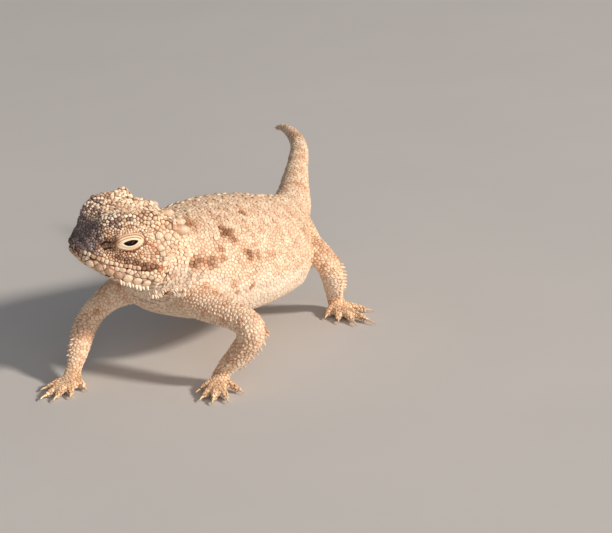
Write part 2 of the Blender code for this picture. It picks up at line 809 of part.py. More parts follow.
# Rows of spines: first and last place among the points of the leg's line, how many, the way they
# face on the left side and their length.
UPPER_ROWS = ((6.0, 11.0, 5, (0.2, 0.9, -0.3), 0.75), (5.6, 10.8, 5, (0.0, 0.0, 1.0), 0.6))
LOWER_ROWS = ((12.9, 18.6, 6, (0.75, 0.75, -0.1), 0.6), (13.2, 18.2, 5, (0.6, -0.6, 0.5), 0.55))


def edged(obj, stations, rows, side):
    """A length of leg with its rows of spines joined to it."""
    pieces = []
    for first, last, count, facing, size in rows:
        lie = mirrored(Vector(facing), side)
        pieces += leg_spines(obj, stations, first, last, count, lie, size)
    return fused(obj, pieces)


for side_name, names, stations, heading, toes, palm_length, palm_width in LEGS:
    side = 1 if side_name == "left" else -1
    upper, lower = parted_leg(stations)
    upper = carved(edged(upper, stations, UPPER_ROWS, side), trunk_swollen, keep=True)
    lower = carved(edged(lower, stations, LOWER_ROWS, side), swollen(upper, GAP))
    wrist = Vector(stations[-1][:3])
    end = foot(wrist, heading, side, toes, palm_length, palm_width)
    end = carved(end, swollen(lower, GAP))
    for obj, name in zip((upper, lower, end), names):
        finished(obj, f"{name}_{side_name}", SKIN)

# Tail. Broad at its base, then slender and round, lifted and swung to the animal's right.
TAIL = (
    (0.0, 14.5, 10.6, 3.0),
    (0.0, 16.8, 11.0, 2.8),
    (-0.6, 19.0, 11.9, 2.35),
    (-1.4, 21.0, 12.9, 1.95),
    (-2.2, 23.0, 13.8, 1.65),
    (-3.2, 25.5, 14.7, 1.42),
    (-4.3, 28.0, 15.5, 1.25),
    (-5.9, 30.5, 16.1, 1.08),
    (-8.1, 32.8, 16.6, 0.85),
    (-10.3, 34.6, 16.7, 0.6),
    (-12.2, 35.8, 16.2, 0.35),
)
TAIL_CUTS = ((0, 10), (10, 20), (20, 30))
TAIL_NAMES = ("tail_base", "tail_middle", "tail_tip")


def tail_lengths():
    line = along([Vector(s) for s in TAIL], 3)
    lengths = []
    for first, last in TAIL_CUTS:
        part = line[first : last + 1]
        if first:
            part[0] = part[0] + (part[1] - part[0]).normalized() * GAP / 2
        if last < len(line) - 1:
            part[-1] = part[-1] - (part[-1] - part[-2]).normalized() * GAP / 2
        lengths.append(tapered_tube("tail", part, 3))
    return lengths


for name, length in zip(TAIL_NAMES, tail_lengths()):
    if name == "tail_base":
        length = carved(length, trunk_swollen, keep=True)
    finished(length, name, SKIN)

trunk = fused(trunk, trunk_spines(trunk_surface))
for clearance in [head_clearance, *horn_clearances]:
    trunk = carved(trunk, clearance)
finished(trunk, "torso", SKIN)
finished(head, "head", SKIN)
finished(neck, "neck", SKIN)
for leftover in list(WORK.objects):
    bpy.data.objects.remove(leftover, do_unlink=True)
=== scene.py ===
import json
import math
from random import Random

import bmesh
import bpy
import numpy as np
from mathutils import Matrix, Vector, noise
from mathutils.bvhtree import BVHTree
from mathutils.kdtree import KDTree

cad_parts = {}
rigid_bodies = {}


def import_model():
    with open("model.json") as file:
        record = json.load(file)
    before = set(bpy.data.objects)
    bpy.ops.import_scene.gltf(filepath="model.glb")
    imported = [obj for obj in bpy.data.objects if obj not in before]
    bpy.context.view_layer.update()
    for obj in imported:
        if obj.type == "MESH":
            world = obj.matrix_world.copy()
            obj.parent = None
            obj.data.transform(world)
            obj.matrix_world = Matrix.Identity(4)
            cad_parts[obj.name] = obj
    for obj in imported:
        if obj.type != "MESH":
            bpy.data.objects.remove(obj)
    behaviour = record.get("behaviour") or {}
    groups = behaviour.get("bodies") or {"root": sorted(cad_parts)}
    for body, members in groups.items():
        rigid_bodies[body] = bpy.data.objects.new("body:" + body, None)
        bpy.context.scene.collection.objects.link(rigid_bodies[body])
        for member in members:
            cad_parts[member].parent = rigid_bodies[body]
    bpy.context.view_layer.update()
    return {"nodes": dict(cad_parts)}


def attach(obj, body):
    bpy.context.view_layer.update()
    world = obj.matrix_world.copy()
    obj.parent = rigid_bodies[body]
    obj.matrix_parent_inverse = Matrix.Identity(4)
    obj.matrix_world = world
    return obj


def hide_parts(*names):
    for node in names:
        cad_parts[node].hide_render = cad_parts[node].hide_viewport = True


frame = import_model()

# Skin. One closed hide over head, neck, trunk, legs and tail, thin and dry, with folds on the
# neck and flanks. It is the ground that every scale is rooted in, so it lies just under their
# tops, and it is grown from the same sizes as the solids, in millimetres on the animal.
MM = 0.001
ORIGIN = Vector((-0.81, 5.02, 0.0))  # floor point under the middle of the animal's box

TRUNK = (  # y, height of the widest level, half width, rise above it, depth below it
    (-16.6, 14.4, 2.7, 2.3, 2.8),
    (-15.2, 14.0, 4.4, 3.5, 4.4),
    (-13.2, 12.6, 6.4, 5.2, 5.3),
    (-10.4, 11.2, 8.2, 7.0, 5.5),
    (-7.0, 10.2, 9.4, 8.3, 5.2),
    (-3.2, 9.4, 10.0, 9.0, 4.8),
    (0.8, 8.9, 9.9, 9.0, 4.5),
    (4.6, 8.4, 9.2, 8.6, 4.3),
    (8.0, 8.3, 8.0, 7.6, 4.3),
    (11.2, 8.6, 6.3, 6.2, 4.1),
    (14.2, 9.4, 4.6, 4.5, 3.3),
    (16.4, 10.4, 3.4, 3.0, 2.7),
    (17.5, 10.7, 2.2, 1.8, 1.8),
)
TRUNK_SIDES, NECK_SIDES, LIMB_SIDES, TOE_SIDES = 16, 20, 16, 12
HEAD = (  # y, low, jaw, cheek, cheek_z, side, side_z, brow, brow_z, crown, in the head's frame
    (-5.6, 0.15, 0.8, 0.9, 0.75, 0.85, 1.0, 0.6, 1.25, 1.3),
    (-5.35, -0.25, 1.6, 1.6, 0.85, 1.5, 1.25, 1.15, 1.55, 1.65),
    (-4.95, -0.55, 2.4, 2.25, 1.0, 2.0, 1.6, 1.65, 2.15, 2.3),
    (-4.5, -0.8, 3.0, 2.75, 1.2, 2.4, 2.1, 2.3, 3.3, 3.0),
    (-3.9, -1.05, 3.5, 3.2, 1.3, 2.8, 2.5, 3.15, 5.05, 4.15),
    (-3.0, -1.45, 4.1, 3.7, 1.4, 3.25, 2.8, 3.75, 5.85, 4.95),
    (-1.8, -2.05, 4.75, 4.3, 1.5, 3.8, 3.1, 4.1, 6.2, 5.35),
    (-0.4, -2.5, 5.25, 4.8, 1.5, 4.3, 3.2, 4.35, 6.5, 5.6),
    (1.1, -2.7, 5.6, 5.3, 1.6, 4.8, 3.3, 4.55, 6.7, 5.75),
    (2.4, -2.8, 5.7, 5.65, 1.7, 5.3, 3.5, 4.6, 6.1, 5.7),
    (3.6, -2.6, 5.2, 5.5, 1.9, 5.4, 3.7, 4.8, 5.4, 5.6),
    (4.9, -1.9, 4.2, 4.7, 2.0, 4.8, 3.7, 4.6, 5.6, 5.4),
    (5.6, -0.6, 2.9, 3.4, 2.0, 3.6, 3.4, 3.1, 4.7, 4.8),
)
MOUTH = ((-6.0, 0.55), (-4.5, 0.45), (-3.0, 0.12), (-1.0, -0.08), (1.0, -0.43), (2.6, -0.7))
# Lines on the side of the head, y and z in its frame: where the lips meet, the crease between the
# lower lip and the chin shields, and two short folds that run forward from the lids.
LIP_LINE = ((-5.7, 0.55), (-4.5, 0.42), (-3.0, 0.1), (-1.0, -0.04), (0.6, -0.1), (1.5, -0.05), (2.2, 0.15))
CHIN_LINE = ((-3.4, -0.1), (-2.0, -0.32), (-1.0, -0.52), (0.4, -0.84), (1.6, -1.0), (2.4, -1.05))
LORE_FOLDS = (((-3.4, 2.05), (-3.0, 2.5), (-2.6, 2.7)), ((-3.1, 1.6), (-2.7, 1.95), (-2.3, 2.1)))
HEAD_AT = Vector((-2.4, -18.5, 16.0))
HEAD_TURN, HEAD_LIFT, HEAD_TILT = -34.0, -14.4, -6.3  # degrees
HEAD_MIDDLE_Z = 1.5  # the head's own long axis lies this far above its mouth
NECK = (  # x, y, z, radius, as for the legs and the tail
    (0.0, -12.4, 14.0, 5.0),
    (0.0, -14.4, 14.7, 4.8),
    (-0.4, -16.0, 15.8, 4.4),
    (-0.9, -17.2, 17.0, 3.9),
    (-1.3, -18.2, 18.0, 3.2),
)
LEFT_ARM = (
    (3.2, -12.9, 10.4, 2.3),
    (5.6, -13.8, 9.4, 2.15),
    (9.6, -14.8, 8.7, 1.7),
    (13.0, -15.5, 7.5, 1.55),
    (11.0, -15.3, 4.6, 1.45),
    (7.9, -15.0, 1.75, 1.0),
)
RIGHT_ARM = (
    (-3.2, -12.4, 11.0, 2.2),
    (-5.4, -12.9, 10.0, 2.0),
    (-8.5, -12.8, 8.2, 1.6),
    (-11.0, -13.1, 5.7, 1.45),
    (-10.5, -16.0, 3.8, 1.35),
    (-9.6, -19.2, 1.75, 0.98),
)
LEFT_LEG = (
    (2.2, 14.6, 9.6, 2.1),
    (3.9, 12.7, 9.4, 1.95),
    (6.3, 10.4, 8.9, 1.65),
    (9.6, 8.2, 7.7, 1.5),
    (9.1, 10.4, 4.6, 1.4),
    (7.7, 12.7, 1.7, 1.0),
)
RIGHT_LEG = (
    (-2.2, 14.6, 9.6, 2.1),
    (-4.1, 13.4, 9.5, 1.95),
    (-7.4, 11.8, 9.0, 1.7),
    (-10.7, 10.4, 7.8, 1.5),
    (-10.8, 13.4, 4.7, 1.4),
    (-10.4, 16.1, 1.7, 1.0),
)
TAIL = (
    (0.0, 14.5, 10.6, 3.0),
    (0.0, 16.8, 11.0, 2.8),
    (-0.6, 19.0, 11.9, 2.35),
    (-1.4, 21.0, 12.9, 1.95),
    (-2.2, 23.0, 13.8, 1.65),
    (-3.2, 25.5, 14.7, 1.42),
    (-4.3, 28.0, 15.5, 1.25),
    (-5.9, 30.5, 16.1, 1.08),
    (-8.1, 32.8, 16.6, 0.85),
    (-10.3, 34.6, 16.7, 0.6),
    (-12.2, 35.8, 16.2, 0.35),
)
# A toe is its angle from the foot's line, its length and where along the palm it starts.
HAND_TOES = ((-38, 1.9, 0.45), (-12, 2.7, 0.85), (9, 3.1, 1.0), (29, 3.1, 0.95), (56, 2.2, 0.5))
FOOT_TOES = ((-40, 1.9, 0.4), (-17, 2.8, 0.7), (2, 3.7, 0.9), (20, 4.3, 1.0), (52, 2.7, 0.45))
FEET = (  # leg it ends, degrees outward from straight ahead, side, toes, palm length and width
    (LEFT_ARM, 12, 1, HAND_TOES, 2.3, 1.35),
    (RIGHT_ARM, -18, -1, HAND_TOES, 2.3, 1.35),
    (LEFT_LEG, 46, 1, FOOT_TOES, 3.0, 1.3),
    (RIGHT_LEG, 34, -1, FOOT_TOES, 3.0, 1.3),
)
SKIN_GRAIN = 0.2  # size of the finest fold that the skin can hold
SKIN_DEPTH = 0.06  # under the tops of the scales, which make up the rest


def through(points, steps):
    """Points on a smooth curve through the given ones, each span in steps."""
    points = [Vector(point) for point in points]
    ends = [2 * points[0] - points[1], *points, 2 * points[-1] - points[-2]]
    curve = []
    for i in range(1, len(ends) - 2):
        a, b, c, d = ends[i - 1 : i + 3]
        for k in range(steps):
            t = k / steps
            cubic = (3 * b - a - 3 * c + d) * t**3
            curve.append(0.5 * (2 * b + (c - a) * t + (2 * a - 5 * b + 4 * c - d) * t * t + cubic))
    curve.append(points[-1])
    return curve


def plain_mesh(holder):
    """The mesh of an object with its modifiers applied. The object itself is removed."""
    graph = bpy.context.evaluated_depsgraph_get()
    mesh = bpy.data.meshes.new_from_object(holder.evaluated_get(graph))
    bpy.data.objects.remove(holder, do_unlink=True)
    return mesh


def held(mesh, name):
    """An object in the scene that holds a mesh."""
    holder = bpy.data.objects.new(name, mesh)
    bpy.context.scene.collection.objects.link(holder)
    return holder


def made(form, name):
    """The mesh of a form that bmesh holds. The form itself is freed."""
    mesh = bpy.data.meshes.new(name)
    form.to_mesh(mesh)
    form.free()
    return mesh


def banded(form, near, far):
    """Faces between two equal rings of points of a form."""
    for i in range(len(near)):
        j = (i + 1) % len(near)
        form.faces.new((near[i], near[j], far[j], far[i]))


def closed_form(rings, rounds):
    """A closed form over equal rings of points, rounded off, as a mesh in millimetres."""
    cage = bmesh.new()
    loops = [[cage.verts.new(point) for point in ring] for ring in rings]
    for near, far in zip(loops, loops[1:]):
        banded(cage, near, far)
    cage.faces.new(list(reversed(loops[0])))
    cage.faces.new(loops[-1])
    bmesh.ops.recalc_face_normals(cage, faces=cage.faces)
    holder = held(made(cage, "form"), "form")
    if rounds:
        smooth = holder.modifiers.new("smooth", "SUBSURF")
        smooth.levels = rounds
        smooth.render_levels = rounds
    return plain_mesh(holder)


def turns_round(count, shift=0.0):
    """Equal turns round a circle, in radians."""
    return [2 * math.pi * (k + shift) / count for k in range(count)]


def rings_along(stations, sides):
    """Round rings square to a line of stations (x, y, z, radius), carried along without twist."""
    places = [Vector(station[:3]) for station in stations]
    up = Vector((0.13, 0.07, 1.0))
    rings = []
    for i, station in enumerate(stations):
        run = (places[min(i + 1, len(places) - 1)] - places[max(i - 1, 0)]).normalized()
        up = (up - run * up.dot(run)).normalized()
        side = run.cross(up)
        ways = [side * math.cos(turn) + up * math.sin(turn) for turn in turns_round(sides)]
        rings.append([places[i] + way * station[3] for way in ways])
    return rings


def trunk_ring(station):
    y, level, half_width, rise, depth = station
    ring = []
    for turn in turns_round(TRUNK_SIDES, 0.5):
        across, up = math.cos(turn), math.sin(turn)
        across = math.copysign(abs(across) ** (0.9 if up > 0 else 0.72), across)
        height = rise * up if up > 0 else -depth * abs(up) ** 0.8
        ring.append(Vector((half_width * across, y, level + height)))
    return ring


def mouth_height(y):
    return float(np.interp(y, *zip(*MOUTH)))


def head_ring(station):
    y, low, jaw, cheek, cheek_z, side, side_z, brow, brow_z, crown = station
    half = (
        (0.0, low),
        (0.5 * jaw, low * 0.97),
        (0.86 * jaw, low * 0.8 + mouth_height(y) * 0.2 - 0.1),
        (jaw, mouth_height(y) - 0.1),
        (0.5 * (jaw + cheek), 0.5 * (cheek_z + mouth_height(y)) + 0.05),
        (cheek, cheek_z),
        (side, side_z),
        (0.5 * (side + brow), 0.5 * (side_z + brow_z)),
        (brow, brow_z - 0.1),
        (0.72 * brow, 0.5 * (brow_z + crown) + 0.1),
        (0.36 * brow, crown),
        (0.0, crown - 0.05),
    )
    left = [Vector((x, y, z)) for x, z in half]
    right = [Vector((-x, y, z)) for x, z in reversed(half[1:-1])]
    return left + right


head_place = (
    Matrix.Translation(HEAD_AT)
    @ Matrix.Rotation(math.radians(HEAD_TURN), 4, "Z")
    @ Matrix.Rotation(math.radians(HEAD_LIFT), 4, "X")
    @ Matrix.Rotation(math.radians(HEAD_TILT), 4, Vector((0, -1, 0)))
)


def foot_axes(heading, side):
    aim = math.radians(heading)
    ahead = Vector((side * math.sin(aim), -math.cos(aim), 0))
    across = Vector((side * math.cos(aim), math.sin(aim), 0))
    return ahead, across


def palm_rings(wrist, heading, side, palm_length, palm_width):
    """Rings of a palm, each by its share of the length, its height, half width and half height."""
    ahead, across = foot_axes(heading, side)
    rings = []
    for share, height, half_width, half_height in (
        (-0.2, wrist.z + 0.1, 0.9, 0.85),
        (0.0, wrist.z, 0.98, 0.92),
        (0.25, wrist.z * 0.72, 1.12, 0.87),
        (0.6, 0.75, palm_width * 0.94, 0.8),
        (0.95, 0.6, palm_width * 1.02, 0.64),
        (1.2, 0.5, palm_width * 0.75, 0.45),
    ):
        centre = Vector((wrist.x, wrist.y, height)) + ahead * palm_length * share
        ring = []
        for turn in turns_round(LIMB_SIDES):
            up = Vector((0, 0, half_height * math.sin(turn)))
            ring.append(centre + across * half_width * math.cos(turn) + up)
        rings.append(ring)
    return rings


def toe_line(wrist, heading, side, toe, palm_length, palm_width):
    """Root, direction and length of a toe, seen from above."""
    ahead, across = foot_axes(heading, side)
    angle, length, start = toe
    spread = math.radians(angle)
    way = (ahead * math.cos(spread) + across * math.sin(spread)).normalized()
    shift = across * palm_width * 0.8 * math.sin(spread)
    root = Vector((wrist.x, wrist.y, 0)) + ahead * palm_length * start + shift
    return root, way, length


def toe_stations(root, way, length):
    """A toe arches up from the palm and swells a little at each of its joints."""
    profile = (
        (-0.5, 0.62, 0.46),
        (0.12 * length, 0.84, 0.47),
        (0.3 * length, 0.86, 0.54),
        (0.5 * length, 0.74, 0.44),
        (0.68 * length, 0.6, 0.49),
        (0.86 * length, 0.46, 0.4),
        (length, 0.4, 0.4),
        (length + 0.14, 0.36, 0.2),
    )
    return [Vector((*(root + way * run).xy, height, radius)) for run, height, radius in profile]


flesh = []  # the name of each part of the body, its form and the line that its scales follow


def add_flesh(part, rings, rounds, line):
    flesh.append((part, closed_form(rings, rounds), [Vector(point[:3]) for point in line]))


trunk_line = [Vector((0, y, level + (rise - depth) / 2)) for y, level, _, rise, depth in TRUNK]
add_flesh("trunk", [trunk_ring(station) for station in TRUNK], 2, trunk_line)
head_rings = [[head_place @ point for point in head_ring(station)] for station in HEAD]
head_line = [head_place @ Vector((0, y, HEAD_MIDDLE_Z)) for y in range(-6, 7)]
add_flesh("head", head_rings, 2, head_line)
neck_stations = through(NECK, 2)
add_flesh("neck", rings_along(neck_stations, NECK_SIDES), 1, list(reversed(neck_stations)))
tail_stations = through(TAIL, 3)
add_flesh("tail", rings_along(tail_stations, LIMB_SIDES), 1, tail_stations)
toe_lines = []
for number, (stations, heading, side, toes, palm_length, palm_width) in enumerate(FEET):
    limb = through(stations, 4)
    add_flesh(f"leg_{number}", rings_along(limb, LIMB_SIDES), 1, limb)
    wrist = Vector(stations[-1][:3])
    ahead, _ = foot_axes(heading, side)
    palm_line = [wrist, wrist + ahead * palm_length * 1.2]
    palm = palm_rings(wrist, heading, side, palm_length, palm_width)
    add_flesh(f"foot_{number}", palm, 1, palm_line)
    for toe in toes:
        root, way, length = toe_line(wrist, heading, side, toe, palm_length, palm_width)
        toe_lines.append((root, way, length))
        line = toe_stations(root, way, length)
        add_flesh(f"foot_{number}", rings_along(line, TOE_SIDES), 1, line)


def in_metres(form):
    """Takes a form from millimetres on the animal to metres in the shared frame."""
    bmesh.ops.translate(form, vec=-ORIGIN, verts=form.verts)
    bmesh.ops.scale(form, vec=(MM, MM, MM), verts=form.verts)
    return form


joined = bmesh.new()
for _, mesh, _ in flesh:
    joined.from_mesh(mesh)
holder = held(made(in_metres(joined), "skin"), "skin")
merge = holder.modifiers.new("merge", "REMESH")
merge.mode = "VOXEL"
merge.voxel_size = SKIN_GRAIN * MM
skin_mesh = plain_mesh(holder)


def tree_of(places):
    """A search tree of places, in which each has its number in the list."""
    tree = KDTree(len(places))
    for i, place in enumerate(places):
        tree.insert(place, i)
    tree.balance()
    return tree


def listed(items, key, kind=np.float32, width=3):
    """What the items of a mesh hold under a key, one row for each."""
    values = np.empty(len(items) * width, kind)
    items.foreach_get(key, values)
    return values.reshape(-1, width)


def put_skin(points):
    """Moves the skin to points in millimetres on the animal. Gives its new normals."""
    skin_mesh.vertices.foreach_set("co", ((points - np.array(ORIGIN)) * MM).ravel())
    skin_mesh.update()
    return listed(skin_mesh.vertex_normals, "vector")


def eased(points, edges, rounds, share):
    """Draws each point towards the middle of its neighbours, by its own share."""
    count = len(points)
    ties = np.bincount(edges.ravel(), minlength=count)
    for _ in range(rounds):
        total = np.zeros_like(points)
        for near, far in ((0, 1), (1, 0)):
            for axis in range(3):
                pull = points[edges[:, far], axis]
                total[:, axis] += np.bincount(edges[:, near], pull, count)
        points = points + share[:, None] * (total / ties[:, None] - points)
    return points


# Which part of the body each point of the skin belongs to, from the nearest point of the forms.
form_points, form_owner = [], []
for number, (_, mesh, _) in enumerate(flesh):
    form_points += [vertex.co for vertex in mesh.vertices]
    form_owner += [number] * len(mesh.vertices)
form_tree = tree_of(form_points)
at = listed(skin_mesh.vertices, "co") / MM + np.array(ORIGIN)
owner = np.array([form_owner[form_tree.find(point)[1]] for point in at])
owner_part = np.array([flesh[number][0] for number in owner])
on_head = owner_part == "head"
on_foot = np.char.startswith(owner_part, "foot")
on_leg = np.char.startswith(owner_part, "leg")
on_trunk = owner_part == "trunk"
on_neck = owner_part == "neck"
on_tail = owner_part == "tail"
# The joints between the forms are eased out, and the fine forms of head and feet less than the rest.
ease = np.where(on_foot, 0.25, np.where(on_head, 0.4, 0.8))
at = eased(at, listed(skin_mesh.edges, "vertices", np.int32, 2), 12, ease)
out = put_skin(at)

to_head = np.array(head_place.inverted())


def head_local(points):
    return points @ to_head[:3, :3].T + to_head[:3, 3]


def bell(values, middle, spread):
    return np.exp(-(((values - middle) / spread) ** 2))


def step_up(values, low, high):
    share = np.clip((values - low) / (high - low), 0, 1)
    return share * share * (3 - 2 * share)


def rough(points, size, shift=0.0):
    """Smooth noise from -1 to 1 whose lumps are about a size across."""
    return np.array([noise.noise(Vector(point) / size + Vector((shift, 0, 0))) for point in points])


def away_from_line(local, line, reach):
    """How far points of the head lie from a line on its side, in y and z."""
    nearest = np.full(len(local), 9.0)
    for near, far in zip(line, line[1:]):
        span = np.array(far) - np.array(near)
        share = np.clip(((local[:, 1:] - near) @ span) / (span @ span), 0, 1)
        gap = local[:, 1:] - near - share[:, None] * span
        nearest = np.minimum(nearest, np.linalg.norm(gap, axis=1))
    return np.where(np.abs(local[:, 0]) > reach, nearest, 9.0)


local = head_local(at)
push = np.full(len(at), -SKIN_DEPTH)
# The mouth is a groove round both jaws, with a shallower crease under the lower lip and two folds
# in front of the eye.
CREASES = (  # line, depth, width, distance from the head's middle where it starts, half bare of scales
    (LIP_LINE, 0.4, 0.14, 0.0, 0.07),
    (CHIN_LINE, 0.24, 0.13, 2.0, 0.045),
    (LORE_FOLDS[0], 0.26, 0.13, 2.0, 0.035),
    (LORE_FOLDS[1], 0.26, 0.13, 2.0, 0.035),
)
for line, deep, wide, start, _ in CREASES:
    push -= np.where(on_head, deep * bell(away_from_line(local, line, start), 0.0, wide), 0)
# The brow overhangs a hollow in front of the eye, the skin swells up round the lids, and a loose
# fold arches over them from the lore to the temple.
TILT = math.radians(14.0)  # of the eye's long axis, its rear end up


def round_eye(local, y, z, half_length, half_height):
    """How far points lie from the eye, 1 on an oval round y and z, and how far above its middle."""
    along = (local[:, 1] - y) * math.cos(TILT) + (local[:, 2] - z) * math.sin(TILT)
    above = (local[:, 2] - z) * math.cos(TILT) - (local[:, 1] - y) * math.sin(TILT)
    return np.sqrt((along / half_length) ** 2 + (above / half_height) ** 2), above


SWELLING = (-1.1, 3.05, 2.2, 1.45)  # y and z of its middle, half length and half height
eye_run, eye_up = round_eye(local, *SWELLING)
upper_half = step_up(eye_up, -0.4, 0.6)
beside = on_head & (np.abs(local[:, 0]) > 2.0)
push += np.where(beside, 0.5 * np.exp(-((eye_run / 1.15) ** 4)), 0)
push -= np.where(beside, 0.35 * bell(local[:, 1], -3.5, 0.7) * bell(local[:, 2], 2.4, 0.9), 0)
push -= np.where(beside, 0.2 * bell(eye_run, 1.42, 0.16) * upper_half, 0)
push += np.where(beside, 0.22 * bell(eye_run, 1.2, 0.13) * upper_half, 0)
# Blunt bony points push up the skin of the brow, the temple and the cheek, with a notch behind
# the brow.
KNOBS = (  # place in the head's frame, height and width
    ((4.45, 1.5, 6.4), 0.6, 0.85),
    ((4.7, 3.0, 5.6), -1.05, 0.6),
    ((3.3, 2.5, 6.15), -0.5, 0.45),
    ((5.2, 4.1, 3.5), 0.7, 0.75),
    ((5.5, 3.3, 2.2), 0.5, 0.6),
    ((5.5, 2.9, -0.9), 0.55, 0.55),
)
for (x, y, z), tall, wide in KNOBS:
    for side in (1, -1):
        away = np.linalg.norm(local - np.array((x * side, y, z)), axis=1)
        push += np.where(on_head, tall * bell(away, 0.0, wide), 0)
# The head is uneven all over, in knots and short folds, apart from the snout and the lids.
knotty = on_head * step_up(local[:, 1], -4.2, -3.0) * step_up(eye_run, 1.3, 1.7)
push += knotty * (0.15 * rough(local, 0.9, 41.0) + 0.08 * rough(local, 0.5, 43.0))
# The snout wrinkles from top to bottom, in ridges that wander.
snout_share = np.where(on_head, step_up(-local[:, 1], 3.2, 4.2) * step_up(local[:, 2], 0.8, 1.4), 0)
wrinkles = np.sin(10.0 * (local[:, 1] + 0.25 * local[:, 2]) + 1.8 * rough(local, 1.3, 17.0))
push += 0.08 * snout_share * wrinkles
# The nostrils are two small pits that open to the front and the side.
NOSTRIL_AT = Vector((1.05, -5.05, 1.75))
for side in (1, -1):
    away = np.linalg.norm(local - np.array((NOSTRIL_AT.x * side, *NOSTRIL_AT.yz)), axis=1)
    push -= np.where(on_head, 0.45 * bell(away, 0.0, 0.26) - 0.1 * bell(away, 0.42, 0.16), 0)
# Loose folds ring the neck and the throat, and shallow pleats run along the flanks.
neck_run = at[:, 1] + 0.35 * at[:, 0] - 0.45 * (at[:, 2] - 15.0)
neck_share = bell(at[:, 1], -15.5, 2.2) * (on_neck | on_trunk)
push += neck_share * 0.2 * np.sin(neck_run * 4.6 + 1.5 * rough(at, 3.0))
flank_share = on_trunk * bell(out[:, 2], 0.05, 0.45)
push += flank_share * 0.1 * np.sin(at[:, 2] * 3.4 + 2.2 * rough(at, 4.0, 7.0))
push += np.where(on_trunk, 0.1 * rough(at, 2.4, 3.0), 0.04 * rough(at, 1.6, 5.0))
at = at + out * push[:, None]
at[:, 2] = np.maximum(at[:, 2], 0.02)
out = put_skin(at)
skin_mesh.calc_loop_triangles()
triangles = listed(skin_mesh.loop_triangles, "vertices", np.int32)
skin_tree = BVHTree.FromPolygons(at.tolist(), triangles.tolist())

# Markings, the same for the skin and for every scale: a pale belly, small dark spots on the
# back, a rusty temple, a dark streak from the eye to the corner of the mouth, a grey snout that
# is partly painted shade, painted shade over the brow and ochre feet. Each is a share from 0 to 1
# at a point of the body.
SPOTS = (  # x, y, z, radius and strength, where the spots show on the left side
    (4.4, -5.6, 17.3, 0.5, 0.55),
    (5.2, -2.8, 16.8, 0.6, 0.9),
    (6.1, -7.5, 16.2, 0.55, 1.0),
    (6.8, -8.2, 15.5, 0.8, 0.85),
    (8.3, -7.3, 13.4, 0.8, 0.9),
    (8.7, -6.0, 13.0, 0.6, 0.7),
    (6.7, -10.6, 14.8, 0.5, 0.7),
    (6.3, -12.4, 13.9, 0.9, 0.9),
    (5.4, -13.7, 14.3, 0.7, 0.9),
    (8.7, -8.1, 9.8, 0.6, 0.7),
    (7.9, -10.4, 10.6, 0.5, 0.6),
    (2.4, -10.6, 17.6, 1.1, 0.7),
    (3.6, -13.6, 18.6, 0.9, 0.8),
    (5.3, -14.1, 14.1, 0.7, 1.0),
    (6.0, -8.4, 16.2, 0.9, 1.0),
    (7.8, -10.0, 9.5, 0.4, 0.7),
    (7.0, -11.0, 14.0, 0.5, 0.7),
    (2.2, -16.4, 11.0, 0.5, 1.0),
    (4.6, -17.0, 13.0, 1.0, 0.8),
)
all_spots = list(SPOTS)
rng = Random(23)
for x, y, z, radius, strength in SPOTS:
    if abs(x) > 3.0:
        y_shift, z_shift = rng.uniform(-1.2, 1.2), rng.uniform(-0.5, 0.5)
        all_spots.append((-x, y + y_shift, z + z_shift, radius * rng.uniform(0.8, 1.2), strength))


def trunk_level(y):
    """The height of the straight line through the trunk's ends."""
    first, last = trunk_line[0], trunk_line[-1]
    return first.lerp(last, (y - TRUNK[0][0]) / (TRUNK[-1][0] - TRUNK[0][0])).z


SMALL_SPOTS = 46
for _ in range(SMALL_SPOTS):
    turn = rng.uniform(-1.5, 1.35)
    y = rng.uniform(-11.0, 14.0)
    if turn > 0.3 and y < -2.0:
        continue
    reach = 9.0 * (1 - 0.5 * ((y + 1.0) / 16.0) ** 2)
    spot_at = Vector((math.sin(turn) * reach, y, trunk_level(y) - 2.0 + math.cos(turn) * reach))
    all_spots.append((*spot_at, rng.uniform(0.35, 0.95), rng.uniform(0.4, 0.9)))


